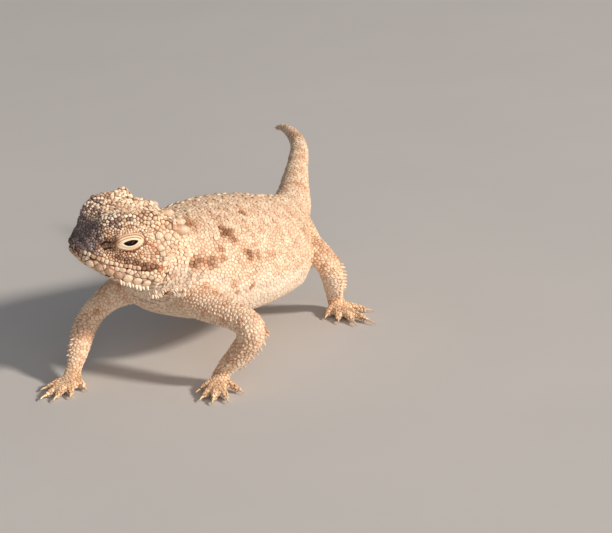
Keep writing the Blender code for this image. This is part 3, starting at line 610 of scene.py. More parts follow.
def markings(points, normals, parts):
    """The markings at points of the body as a dictionary of arrays."""
    head = head_local(points)
    side, rear, up = np.abs(head[:, 0]), head[:, 1], head[:, 2]
    is_head = parts == "head"
    is_leg = np.char.startswith(parts, "leg")
    is_limb = is_leg | (parts == "tail")
    is_foot = np.char.startswith(parts, "foot")
    body = (parts == "trunk") | (parts == "neck")
    fine = rough(points, 0.7)
    broad = rough(points, 2.5, 11.0)
    speckle = rough(points, 0.8, 53.0)

    # The belly, the throat and the undersides of legs and tail are pale, and so is the collar.
    above = points[:, 2] - np.interp(points[:, 1], [s[0] for s in TRUNK], [s[1] for s in TRUNK])
    belly = step_up(-above + 0.5 * broad, -0.8, 0.5)
    pale = np.where(body, belly, step_up(-normals[:, 2], 0.1, 0.8))
    on_left = np.abs(points * (1, 0, 0)) + points * (0, 1, 1)
    for collar in ((1.2, -16.9, 11.2), (3.4, -15.2, 11.0)):
        away = np.linalg.norm(on_left - collar, axis=1)
        pale = np.maximum(pale, np.where(body, bell(away, 0.0, 1.1), 0))
    throat = step_up(-up + 0.3 * fine, 1.5, 2.2)
    lip_strip = bell(away_from_line(head, CHIN_LINE, 2.0), 0.0, 0.6) * (rear > -4.8)
    calm = step_up(rear, -0.2, 2.2) * step_up(up, -0.4, 0.8) * step_up(-up, -5.6, -4.4)

    # Spots on the trunk, faint bars on the limbs, and on the head a streak under the eye, a dark
    # lore in front of it, the line and the corner of the mouth, a darker cheek and painted shade
    # over the front of the head.
    spot = np.zeros(len(points))
    for x, y, z, radius, strength in all_spots:
        away = np.linalg.norm(points - np.array((x, y, z)), axis=1) + 0.35 * fine
        spot = np.maximum(spot, strength * step_up(-away, -radius * 1.6, -radius * 0.3))
    spot = np.where(body, 0.8 * spot, 0)
    bars = step_up(np.sin(points[:, 1] * 0.9 + points[:, 2] * 0.7 + broad), 0.55, 0.95)
    spot = np.maximum(spot, np.where(is_limb, 0.28 * bars, 0))
    streak_up = np.interp(rear, (-4.2, -2.6, -0.5, 1.3, 2.8), (1.6, 1.35, 0.95, 0.6, 0.4))
    streak = bell(up, streak_up, 0.5) * step_up(rear, -4.0, -1.5)
    streak = streak * step_up(-rear, -3.5, -2.4) * step_up(fine + 0.75, 0.0, 0.6)
    lore = bell(rear, -3.2, 0.9) * bell(up, 2.5, 0.9)
    corner = bell(rear, 1.4, 1.1) * bell(up, 0.5, 0.5)
    mouth = bell(away_from_line(head, LIP_LINE, 0.0), 0.0, 0.11) * step_up(rear, -3.6, -1.6)
    cheek = bell(rear, -1.0, 2.4) * bell(up, 1.6, 1.1) * (0.5 + 0.3 * fine)
    # Painted shade: the front of the head is darkened, with a little noise.
    front = 0.22 * step_up(-rear, -1.4, 1.0) + 0.12 * fine
    dark = np.maximum.reduce([0.95 * streak, 0.8 * lore, corner, 0.9 * mouth, cheek, front])
    spot = np.where(is_head, dark, spot)

    # The snout is grey, partly its own colour and partly painted shade. Over the brow and the
    # crown's front the ground is painted shade, with painted highlights on the tips of some scales.
    brow = bell(rear, -2.4, 0.75) * bell(up, 4.9, 0.95) * (side > 1.8)
    forehead = 0.85 * bell(rear, -3.3, 0.8) * step_up(up, 3.6, 4.6)
    crown = 0.6 * bell(rear, -1.7, 1.6) * step_up(up, 4.6, 5.2) * step_up(speckle, -0.2, 0.3)
    painted_flecks = np.maximum.reduce([brow, forehead, crown])
    painted_flecks = np.where(is_head, step_up(painted_flecks + 0.15 * speckle, 0.2, 0.6), 0)
    lip_top = np.interp(rear, (-5.6, -4.6, -3.0), (0.3, 0.6, 0.7))
    grey_and_shade = step_up(-rear + 0.3 * speckle, 3.1, 4.1) * step_up(up - lip_top + 0.15 * fine, 0.0, 0.5)
    grey_and_shade = np.where(is_head, np.maximum(grey_and_shade * (1 - 0.4 * painted_flecks), 0.95 * painted_flecks), 0)

    # Rusty scales are scattered over the body and thickest on the temple.
    temple = step_up(rear, -0.6, 1.8) * step_up(up, -0.6, 0.4) * step_up(-up, -5.0, -4.0)
    rust = step_up(rough(points, 0.8, 31.0), -0.1, 0.4)
    rust = rust * np.where(is_head, 0.25 + 0.75 * temple, np.where(is_leg, 0.5, 0.28))
    head_pale = np.maximum.reduce([throat, 0.4 * calm, 0.6 * lip_strip])
    rust = rust * (1 - np.where(is_head, 0.6 * lip_strip, pale))

    # How much the contrast between neighbouring scales is held back.
    muzzle = step_up(-rear, 3.6, 4.4) * step_up(up, 0.9, 1.4)
    head_soft = np.maximum.reduce([0.75 * throat, 0.75 * calm, 0.85 * muzzle, 0.85 * lip_strip])
    limb_soft = np.maximum(0.87, 0.9 * pale)
    body_soft = np.maximum(0.86, 0.97 * pale)
    soft = np.select([is_foot, is_limb, body, is_head], [0.8, limb_soft, body_soft, head_soft], 0.0)
    # Painted light: both arms are made paler all over, standing for the sun on them.
    is_arm = is_leg & (points[:, 1] < 0)
    return {
        "pale": np.select([is_head, is_arm], [head_pale, np.maximum(pale, 0.45)], pale),
        "spot": spot,
        "grey_and_shade": grey_and_shade,
        "rust": rust,
        "ochre": np.select([is_foot, is_leg, parts == "tail", is_head], [1.0, 0.5, 0.15, 0.6], 0.0),
        "soft": soft,
        "painted_flecks": painted_flecks,
    }


def write_marks(mesh, marks):
    """Writes numbers or vectors for the points of a mesh, each list under its name."""
    for name, values in marks.items():
        values = np.asarray(values, np.float32)
        kind, field = ("FLOAT", "value") if values.ndim == 1 else ("FLOAT_VECTOR", "vector")
        layer = mesh.attributes.new(name, kind, "POINT")
        layer.data.foreach_set(field, values.ravel())


write_marks(skin_mesh, markings(at, out, owner_part))


class Amount:
    """A number that changes over a surface, on which sums can be written."""

    def __init__(self, finish, socket):
        self.finish = finish
        self.socket = socket

    def _sum(self, operation, *others):
        return self.finish.add("ShaderNodeMath", {"operation": operation}, *others)

    def __add__(self, other):
        return self._sum("ADD", self, other)

    __radd__ = __add__

    def __sub__(self, other):
        return self._sum("SUBTRACT", self, other)

    def __rsub__(self, other):
        return self._sum("SUBTRACT", other, self)

    def __mul__(self, other):
        return self._sum("MULTIPLY", self, other)

    __rmul__ = __mul__

    def between(self, low, high):
        """0 below low, 1 above high and smooth in between."""
        settings = {"interpolation_type": "SMOOTHSTEP"}
        return self.finish.add("ShaderNodeMapRange", settings, self, low, high)


class Finish:
    """One material and the nodes that make it up."""

    def __init__(self, name):
        self.material = bpy.data.materials.new(name)
        self.material.use_nodes = True
        self.tree = self.material.node_tree
        self.shader = self.tree.nodes["Principled BSDF"]

    def add(self, kind, settings, *values, output=0):
        """A node of a kind, with its settings made first and then its sockets filled in order."""
        node = self.tree.nodes.new(kind)
        for key, value in settings.items():
            setattr(node, key, value)
        sockets = [socket for socket in node.inputs if socket.enabled]
        for socket, value in zip(sockets, values):
            self.fill(socket, value)
        outputs = [socket for socket in node.outputs if socket.enabled]
        return Amount(self, outputs[output])

    def fill(self, socket, value):
        if isinstance(value, Amount):
            self.tree.links.new(value.socket, socket)
        elif value is not None:
            is_colour = socket.type == "RGBA" and len(value) == 3
            socket.default_value = (*value, 1.0) if is_colour else value

    def mark(self, name):
        """A number that the mesh carries under a name."""
        return self.add("ShaderNodeAttribute", {"attribute_name": name}, output=2)

    def place(self):
        return self.add("ShaderNodeTexCoord", {}, output=3)

    def grain(self, size, detail=2.0, rough=0.5):
        """Noise from 0 to 1 whose lumps are about a size in millimetres across."""
        settings = {"noise_dimensions": "3D"}
        scale = 1.0 / (size * MM)
        return self.add("ShaderNodeTexNoise", settings, self.place(), scale, detail, rough)

    def blend(self, share, low, high, way="MIX"):
        settings = {"data_type": "RGBA", "blend_type": way}
        return self.add("ShaderNodeMix", settings, share, low, high)

    def bumped(self, height, distance, strength=1.0):
        return self.add("ShaderNodeBump", {}, strength, distance, None, height)

    def look(self, **values):
        """Fills the shader's sockets, whose spaces are written as underscores."""
        for name, value in values.items():
            self.fill(self.shader.inputs[name.replace("_", " ")], value)


def tint(red, green, blue):
    """A colour as the eye reads it, 0 to 255, in the shader's linear terms."""
    linear = []
    for part in (red, green, blue):
        share = part / 255
        linear.append(share / 12.92 if share <= 0.04045 else ((share + 0.055) / 1.055) ** 2.4)
    return tuple(linear)


CREAM = tint(250, 222, 190)
SAND = tint(228, 188, 154)
GAP_SKIN_AND_SHADE = tint(142, 98, 70)
BELLY = tint(242, 218, 192)
SPOT = tint(118, 76, 48)
SPOT_EDGE = tint(194, 128, 80)
SNOUT_GREY_AND_SHADE = tint(104, 92, 96)
RUST = tint(206, 122, 66)
OCHRE = tint(246, 200, 148)


def scaly_finish(name, gap_skin_and_shade, crown_highlight):
    """Dry scales: painted highlight on each top, gaps of brown skin and painted shade, and markings."""
    finish = Finish(name)
    crest = finish.mark("crest")
    shade = finish.mark("shade")
    soft = finish.mark("soft")
    grey_and_shade = finish.mark("grey_and_shade")
    rust = finish.mark("rust")
    mottle = finish.grain(1.6, 3.0).between(0.3, 0.7)
    ground = finish.blend(mottle, SAND, CREAM)
    ground = finish.blend(finish.mark("ochre") * 0.5, ground, OCHRE)
    odd_scale = (1 - shade).between(0.62, 0.8)
    ground = finish.blend(finish.mark("pale"), ground, BELLY)
    ground = finish.blend(rust * (0.4 + 0.5 * odd_scale), ground, RUST)
    spot = finish.mark("spot")
    ground = finish.blend(spot.between(0.05, 0.5) * 0.7, ground, SPOT_EDGE)
    ground = finish.blend(spot.between(0.35, 0.85) * 0.9, ground, SPOT)
    # Grey over the snout and brow: partly the snout's own colour, partly painted shade.
    ground = finish.blend(grey_and_shade * 0.92, ground, SNOUT_GREY_AND_SHADE)
    bold = (1 - 0.75 * soft) * (1 - 0.6 * spot)
    ground = finish.blend(shade.between(0.55, 1.0) * 0.75 * bold, ground, tint(255, 240, 212))
    ground = finish.blend((1 - shade).between(0.5, 0.95) * 0.78 * bold, ground, tint(140, 84, 50))
    # Painted highlight on the crest of each scale, held back where the contrast is soft.
    crown = crest.between(0.6, 1.0) * crown_highlight * (1 - 0.8 * soft)
    crown = crown * (1 - 0.7 * grey_and_shade) * (1 - 0.75 * spot)
    light = finish.blend(crown, ground, tint(255, 240, 214))
    # Rims and gaps are darkened: partly the skin's own brown, partly painted shade.
    low = finish.blend(gap_skin_and_shade * (1 - 0.75 * soft), light, GAP_SKIN_AND_SHADE, "MULTIPLY")
    # Painted shade: the gaps are darkened further where the grey lies.
    low = finish.blend(grey_and_shade * 0.5, low, tint(70, 58, 58))
    colour = finish.blend(crest.between(0.2, 0.6), low, light)
    # Painted highlights: cream tips on about half of the scales over the brow and the crown's front.
    painted_tip_highlight = finish.mark("painted_flecks") * shade.between(0.4, 0.55) * crest.between(0.45, 0.85)
    colour = finish.blend(painted_tip_highlight * 0.9, colour, CREAM)
    # Painted shadow: near black where the mesh is marked deep, the lining of the eye socket.
    colour = finish.blend(finish.mark("deep"), colour, tint(9, 6, 5))
    fine = finish.grain(0.14, 3.0, 0.6)
    finish.look(
        Base_Color=colour,
        Roughness=0.5 + 0.25 * finish.grain(0.4),
        Normal=finish.bumped(fine, 0.04 * MM, 0.6),
        Specular_IOR_Level=0.35,
    )
    return finish.material


def dressed(mesh, material, name):
    """A piece with one finish all over, shaded smooth."""
    mesh.materials.clear()
    mesh.materials.append(material)
    mesh.shade_smooth()
    return held(mesh, name)


# The skin carries no crest, so all of it takes the gap colour: its own brown and painted shade.
skin = dressed(skin_mesh, scaly_finish("skin", 0.8, 0.25), "skin")
flesh_nodes = [node for node in frame["nodes"] if not node.startswith(("eye", "horn"))]
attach(skin, "root")
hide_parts(*flesh_nodes)

# Eyes. Each is a dark, wet ball with a brown iris and a round pupil, sunk in its socket, and it
# shows only through the narrow slit between the lids.
EYE_AT = Vector((3.7, -1.1, 3.15))
EYE_RADIUS = 1.2


def mirrored(vector, side):
    return Vector((vector[0] * side, vector[1], vector[2]))


def on_animal(mesh):
    """Takes a mesh from millimetres in the head's frame to metres in the shared frame."""
    mesh.transform(Matrix.Scale(MM, 4) @ Matrix.Translation(-ORIGIN) @ head_place)
    return mesh


eye_finish = Finish("eye")
gaze = eye_finish.mark("gaze")
iris = eye_finish.blend(eye_finish.grain(0.2).between(0.35, 0.65), tint(13, 8, 6), tint(26, 15, 9))
eye_colour = eye_finish.blend(gaze.between(0.42, 0.47), tint(6, 5, 5), iris)
eye_colour = eye_finish.blend(gaze.between(0.78, 0.9), eye_colour, tint(30, 20, 14))
eye_finish.look(Base_Color=eye_colour, Roughness=0.12, Coat_Weight=0.6, Coat_Roughness=0.03)

for side, name in ((1, "eye_left"), (-1, "eye_right")):
    middle = mirrored(EYE_AT, side)
    ball = bmesh.new()
    bmesh.ops.create_uvsphere(ball, u_segments=40, v_segments=28, radius=EYE_RADIUS)
    bmesh.ops.rotate(ball, matrix=Matrix.Rotation(math.radians(90 * side), 3, "Y"), verts=ball.verts)
    bmesh.ops.translate(ball, vec=middle, verts=ball.verts)
    mesh = made(ball, name + "_ball")
    ahead = Vector((side, -0.25, 0.0)).normalized()
    write_marks(mesh, {"gaze": [ahead.angle(vertex.co - middle) for vertex in mesh.vertices]})
    eye = dressed(on_animal(mesh), eye_finish.material, name + "_ball")
    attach(eye, "root")
    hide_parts(name)

# Eyelids. Two thick folds of skin meet in a slanting slit. The lower lid is one smooth pale plate
# with a crease under it, and the upper is drawn up in three folds. Beads of skin stand round both.
LID_AT = Vector((4.1, -0.8, 3.12))
LID_HALF = Vector((1.3, 2.05, 1.26))  # out, along the slit and up
SLIT_HALF_LENGTH = 0.88
SLIT_HALF_HEIGHT = 0.44
SLIT_SHIFT = -0.16  # the slit lies this far in front of the lids' middle
LID_TURNS = 96
LID_RINGS = 44
SOCKET_SHARES = (-1.0, -0.6, -0.3, -0.12)  # rings inside the slit, that line the socket
# Folds and creases of each lid: how far out from the slit, how high and how broad.
UPPER_FOLDS = (
    (0.08, 0.06, 0.1),
    (0.28, -0.1, 0.04),
    (0.42, 0.08, 0.07),
    (0.55, -0.12, 0.04),
    (0.68, 0.09, 0.07),
    (0.8, -0.1, 0.04),
)
LOWER_FOLDS = ((0.1, 0.05, 0.1), (0.36, -0.022, 0.04), (0.52, 0.05, 0.2), (0.8, -0.12, 0.05))


def lid_folds(turn, share):
    """How far the folds stand out at a turn round the slit and a share of the way out from it."""
    share += max(0.0, share - 0.1) * (0.07 * math.sin(2.0 * turn + 0.8) + 0.05 * math.sin(5.0 * turn))
    height = 0.0
    for folds, rise in ((UPPER_FOLDS, math.sin(turn)), (LOWER_FOLDS, -math.sin(turn))):
        stands = sum(size * math.exp(-(((share - out_at) / wide) ** 2)) for out_at, size, wide in folds)
        height += float(step_up(rise, -0.05, 0.45)) * stands
    return height


def lid_point(turn, share):
    """A point on the lids in the lid's own axes (out, along, up), share 0 at the slit's rim."""
    c, s = math.cos(turn), math.sin(turn)
    rim_height = SLIT_HALF_HEIGHT * (0.62 if s > 0 else 1.0)
    rim = (SLIT_SHIFT + SLIT_HALF_LENGTH * c, rim_height * math.copysign(abs(s) ** 1.4, s) + 0.14)
    skirt = (LID_HALF.y * 0.97 * c, LID_HALF.z * 0.97 * s)
    outward = max(0.0, share)
    along = rim[0] + (skirt[0] - rim[0]) * outward
    up = rim[1] + (skirt[1] - rim[1]) * outward
    lens = math.sin(math.pi * min(1.0, outward))
    along -= 0.3 * lens * max(0.0, -c) ** 3  # the front corner is drawn out
    if s > 0:  # and the upper lid is flatter towards both corners
        along *= 1 + 0.08 * lens
        up *= 1 - 0.12 * lens * c * c
    if share < 0:
        along *= 1 + 0.15 * share
        up *= 1 + 0.4 * share
    dome = math.sqrt(max(0.0, 1 - (along / LID_HALF.y) ** 2 - (up / LID_HALF.z) ** 2))
    height = LID_HALF.x * dome
    if share < 0:
        return Vector((height + share * 1.1, along, up))
    return Vector((height + lid_folds(turn, share), along, up))


# The crest is low in the creases of the lids and on the walls of the slit: painted shade there.
def lid_crest(turn, share):
    if share < 0:
        return max(0.0, 0.3 + share)
    return float(np.clip(0.75 + 9.0 * min(0.0, lid_folds(turn, share)), 0, 1))


def lid_place(side, turn, share):
    """A point on the lids of one side, in the head's frame."""
    point = lid_point(turn, share)
    along_axis = Vector((0, math.cos(TILT), math.sin(TILT)))
    up_axis = Vector((0, -math.sin(TILT), math.cos(TILT)))
    across = Vector((side * point.x, 0, 0))
    return mirrored(LID_AT, side) + across + along_axis * point.y + up_axis * point.z


def lid_marks(places):
    """The markings of the lids: pale, with a dark front corner."""
    count = len(places)
    marks = markings(places, np.tile((0.0, 0.0, 0.2), (count, 1)), np.array(["head"] * count))
    front = step_up(-head_local(places)[:, 1], 1.9, 2.7)
    marks["spot"] = np.maximum(0.3 * marks["spot"], 0.85 * front)
    marks["pale"] = 0.3 * (1 - front)
    marks["rust"] = 0.3 * marks["rust"]
    return marks


lid_finish = scaly_finish("lids", 0.75, 0.5)
shares = [*SOCKET_SHARES, *(i / (LID_RINGS - 1) for i in range(LID_RINGS))]
turns = turns_round(LID_TURNS)
for side, name in ((1, "eyelids_left"), (-1, "eyelids_right")):
    mesh = closed_form([[lid_place(side, turn, share) for turn in turns] for share in shares], 0)
    marks = lid_marks(np.array([head_place @ vertex.co for vertex in mesh.vertices]))
    rim_share = np.repeat(shares, LID_TURNS)
    marks["spot"] = np.maximum(marks["spot"], 0.34 * step_up(rim_share, 0.35, 0.8))
    marks["pale"] *= 1 - step_up(rim_share, 0.3, 0.8)
    marks["crest"] = [lid_crest(turn, share) for share in shares for turn in turns]
    marks["shade"] = [0.5] * len(rim_share)
    # The lining of the socket inside the slit is painted near black, a painted shadow.
    marks["deep"] = rim_share < -0.02
    write_marks(mesh, marks)
    lids = dressed(on_animal(mesh), lid_finish, name)
    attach(lids, "root")

# Horns. Four short, blunt cones of bone in a horny sheath at the back of the skull, ringed by
# growth and a little paler towards the tip. Each sits in a collar of scales.
HORNS = (  # name, root in the head's frame, way, radius and length
    ("horn_occipital", (1.5, 5.2, 4.45), (0.1, 0.97, 0.1), 0.72, 1.8),
    ("horn_temporal", (4.1, 4.6, 4.55), (0.3, 0.93, 0.05), 0.78, 1.7),
)
HORN_SUNK = 0.4  # of a horn's length, behind its root
HORN_PROFILE = ((-0.4, 1.1), (0.0, 1.0), (0.45, 0.84), (0.8, 0.6), (0.93, 0.36), (1.0, 0.1))
HORN_RINGS, HORN_SIDES = 25, 20
GROWTH_RATE = 26.0  # radians over a horn's length, a ring of growth each turn
horn_finish = Finish("horn")
horn_rise = horn_finish.mark("along").between(0.1, 0.9)
horn_stain = horn_finish.grain(0.5).between(0.3, 0.8) * 0.35
horn_colour = horn_finish.blend(horn_rise, tint(204, 158, 122), tint(244, 214, 184))
horn_colour = horn_finish.blend(horn_stain, horn_colour, tint(150, 104, 66))
horn_colour = horn_finish.blend(horn_finish.mark("ring") * 0.16, horn_colour, tint(128, 86, 54))
horn_finish.look(
    Base_Color=horn_colour,
    Roughness=0.42 + 0.2 * horn_finish.grain(0.3),
    Normal=horn_finish.bumped(horn_finish.grain(0.1, 3.0), 0.03 * MM, 0.6),
)
horn_places = []  # place and the reach of its collar
for base, root, way, radius, length in HORNS:
    for side, end in ((1, "_left"), (-1, "_right")):
        start = mirrored(root, side)
        course = mirrored(way, side).normalized()
        stations, marks = [], {"along": [], "ring": []}
        for i in range(HORN_RINGS):
            share = -HORN_SUNK + (1 + HORN_SUNK) * i / (HORN_RINGS - 1)
            thick = float(np.interp(share, *zip(*HORN_PROFILE)))
            growth = 0.5 + 0.5 * math.cos(share * GROWTH_RATE)
            bend = Vector((0, 0, 0.15 * length * max(0.0, share) ** 2))
            point = start + course * length * share + bend
            stations.append((*point, radius * thick * (0.97 + 0.03 * growth)))
            marks["along"] += [max(0.0, share)] * HORN_SIDES
            marks["ring"] += [1 - growth] * HORN_SIDES
        horn_places.append((head_place @ (start + course * 0.3), radius * 0.85))
        mesh = closed_form(rings_along(stations, HORN_SIDES), 0)
        write_marks(mesh, marks)
        horn = dressed(on_animal(mesh), horn_finish.material, base + end + "_sheath")
        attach(horn, "root")
        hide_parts(base + end)

# Claws. Slender curved cones of clear pale horn, browner at the tip. Each grows out of the end of
# a toe and comes down to the floor.
CLAW_RINGS, CLAW_SIDES = 9, 10
CLAW_SUNK = 0.25  # of its root in the toe
claw_finish = Finish("claw")
claw_rise = claw_finish.mark("along")
claw_colour = claw_finish.blend(claw_rise.between(0.0, 0.7), tint(250, 224, 184), tint(238, 206, 160))
claw_colour = claw_finish.blend(claw_rise.between(0.7, 1.0), claw_colour, tint(168, 122, 82))
claw_finish.look(Base_Color=claw_colour, Roughness=0.28, Coat_Weight=0.2)
claws = bmesh.new()
claw_along = []
for root, way, length in toe_lines:
    claw = 0.3 * length + 0.25
    stations = []
    for i in range(CLAW_RINGS):
        share = i / (CLAW_RINGS - 1)
        run = length - CLAW_SUNK + (claw + CLAW_SUNK) * share
        height = 0.38 + 0.12 * math.sin(share * 2.6) - 0.26 * share**2
        stations.append((*(root + way * run).xy, height, 0.14 * (1 - share) ** 0.6 + 0.02))
        claw_along += [share] * CLAW_SIDES
    claws.from_mesh(closed_form(rings_along(stations, CLAW_SIDES), 0))
claw_mesh = made(in_metres(claws), "claws")
write_marks(claw_mesh, {"along": claw_along})
claw_piece = dressed(claw_mesh, claw_finish.material, "claws")
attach(claw_piece, "root")

# Scales. Every one is a small raised form of dry horn with its rim sunk in the skin. Those of the
# body are close-set plates, and each fills the ground between its neighbours, so it has an outline
# of its own and is made alone. The equal scales of lids, fringes and legs are stood by nodes.
PATCH_WIDTH = 0.003  # of a scale's patch on the unwrapped skin
PATCH_SHARE = 0.4  # of the patch's width that a scale's radius takes


def along_line(line, point):
    """The number of the line's point that is nearest to a place, and the line's way there."""
    k = min(range(len(line)), key=lambda j: (line[j] - point).length_squared)
    return k, (line[min(k + 1, len(line) - 1)] - line[max(k - 1, 0)]).normalized()


TILES = {  # left, low, wide and tall, of each part of the body on the unwrapped skin
    "trunk": (0.02, 0.02, 0.54, 0.42),
    "head": (0.6, 0.02, 0.38, 0.24),
    "neck": (0.6, 0.3, 0.38, 0.12),
    "tail": (0.86, 0.46, 0.12, 0.36),
}
for k in range(len(FEET)):
    TILES[f"leg_{k}"] = (0.02 + 0.21 * k, 0.46, 0.19, 0.34)
    TILES[f"foot_{k}"] = (0.02 + 0.21 * k, 0.82, 0.19, 0.16)


def unwrapped(points, numbers):
    """Where roots lie on the skin laid flat. A foot has its top on the left half of its tile and
    its sole on the right, and the other parts are unrolled along their line."""
    flat = np.zeros((len(points), 3))
    for i, (point, number) in enumerate(zip(points, numbers)):
        part, _, line = flesh[number]
        left, low, wide, tall = TILES[part]
        point = Vector(point)
        if part.startswith("foot"):
            wrist = Vector(FEET[int(part[-1])][0][-1][:3])
            half = 0.25 if point.z > 0.45 else 0.75
            across = np.clip((point.x - wrist.x) / 16, -0.22, 0.22) + half
            run = np.clip((point.y - wrist.y) / 18 + 0.5, 0, 1)
        else:
            k, way = along_line(line, point)
            up = Vector((0, 0, 1)) if abs(way.z) < 0.9 else Vector((0, 1, 0))
            up = (up - way * up.dot(way)).normalized()
            away = point - line[k]
            across = math.atan2(away.dot(way.cross(up)), away.dot(up)) / (2 * math.pi) + 0.5
            step = max(0.1, (line[-1] - line[0]).length / len(line))
            run = np.clip((k + away.dot(way) / step) / max(1, len(line) - 1), 0, 1)
        flat[i] = (left + wide * across, low + tall * run, 0)
    return flat


def lie_of(points, numbers):
    """The way that scales point: to the rear on head and trunk, to the tip on legs and tail."""
    ways = (along_line(flesh[number][2], Vector(point))[1] for point, number in zip(points, numbers))
    return np.array([*ways])


def nearest_on_skin(point):
    """The nearest place on the skin, its smooth normal and the part of the body it is on."""
    place, _, index, _ = skin_tree.find_nearest(point)
    corners = triangles[index]
    normal = Vector(out[corners].mean(0)).normalized()
    return place, normal, owner[corners[0]]


def as_roots(places, sizes):
    """Roots of scales: where each stands and how, its size and the markings there."""
    places = np.array(places, float).reshape(-1, 3)
    found = [nearest_on_skin(place) for place in places]
    normals = np.array([normal for _, normal, _ in found])
    numbers = np.array([number for _, _, number in found])
    parts = np.array([flesh[number][0] for number in numbers])
    return {
        "place": np.array([place for place, _, _ in found]),
        "out": normals,
        "lie": lie_of(places, numbers),
        "size": np.array(sizes, float).reshape(-1, 3),
        "owner": numbers,
        "part": parts,
        "marks": markings(places, normals, parts),
    }


LEAST_SPACING = 0.2
TRIED_PLACES = 5.0  # about as many for each one that fits
CLOSEST = 0.93  # distance between two kept places, as a share of the spacing
PUSH_REACH, PUSH_SHARE = 1.35, 0.22  # how far a place is pushed from and by how much, in spacings


def even_places(spacing, taken, seed):
    """Places spread evenly over the skin, a spacing apart that differs from point to point."""
    rng = np.random.default_rng(seed)
    corners = at[triangles]
    sides = np.cross(corners[:, 1] - corners[:, 0], corners[:, 2] - corners[:, 0])
    area = 0.5 * np.linalg.norm(sides, axis=1)
    apart = spacing[triangles]
    bare = (apart <= 0).any(1)
    apart = np.maximum(apart.mean(1), LEAST_SPACING)
    wanted = np.where(bare, 0, TRIED_PLACES * area / apart**2)
    chosen = np.searchsorted(np.cumsum(wanted), rng.random(int(wanted.sum())) * wanted.sum())
    a, b = rng.random((2, len(chosen)))
    over = a + b > 1
    a, b = np.where(over, 1 - a, a), np.where(over, 1 - b, b)
    tri = corners[chosen]
    spots = tri[:, 0] + a[:, None] * (tri[:, 1] - tri[:, 0]) + b[:, None] * (tri[:, 2] - tri[:, 0])
    gaps = apart[chosen]
    tree = tree_of(spots)
    alive = np.ones(len(spots), bool)
    for place, radius in taken:
        for _, i, _ in tree.find_range(place, radius):
            alive[i] = False
    kept = []
    for i in range(len(spots)):
        if alive[i]:
            kept.append(i)
            for _, j, _ in tree.find_range(spots[i], gaps[i] * CLOSEST):
                alive[j] = False
    return spots[kept], gaps[kept]


def settled_apart(spots, gaps, taken, rounds):
    """Moves places a little away from close neighbours, along the skin."""
    fixed = [place for place, _ in taken]
    for _ in range(rounds):
        tree = tree_of([*spots, *fixed])
        moved = []
        for i, spot in enumerate(spots):
            push = Vector()
            reach = gaps[i] * PUSH_REACH
            for place, j, distance in tree.find_range(spot, reach):
                if j != i and distance > 1e-6:
                    push += (Vector(spot) - place) / distance * (1 - distance / reach)
            place, _, _, _ = skin_tree.find_nearest(Vector(spot) + push * gaps[i] * PUSH_SHARE)
            moved.append(place)
        spots = np.array(moved)
    return spots


def clipped(polygon, way, limit):
    """The part of a flat polygon that reaches less far along a way than a limit."""
    kept = []
    for near, far in zip(polygon, polygon[1:] + polygon[:1]):
        a = near.dot(way) - limit
        b = far.dot(way) - limit
        if a <= 0:
            kept.append(near)
        if a * b < 0:
            kept.append(near.lerp(far, a / (a - b)))
    return kept


CELL_SIDES = 10  # of a plate's outline before its neighbours cut into it
CELL_REACH = 1.9  # from the root to that outline, in radii of the plate
CELL_MARGIN = 0.15  # more, in the search for neighbours, because some have a larger radius
SHORTEST_SIDE = 0.2  # of a plate's outline, in radii


def cell_round(i, along, ahead, centre):
    """The corners of the ground that is nearer to root i than to the others, in its own plane."""
    own = plate_radii[i]
    ways = [Vector((math.cos(turn), math.sin(turn))) for turn in turns_round(CELL_SIDES)]
    polygon = [way * own * CELL_REACH for way in ways]
    for place, j, distance in plate_tree.find_range(centre, own * 2 * CELL_REACH + CELL_MARGIN):
        offset = place - centre
        way = Vector((offset.dot(along), offset.dot(ahead)))
        if j == i or way.length < 1e-6:
            continue
        limit = 0.5 * distance + (own**2 - plate_radii[j] ** 2) / (2 * distance)
        polygon = clipped(polygon, way.normalized(), limit)
        if len(polygon) < 3:
            return []
    kept = []
    for corner in polygon:
        if not kept or (corner - kept[-1]).length > SHORTEST_SIDE * own:
            kept.append(corner)
    return kept if len(kept) > 2 else []


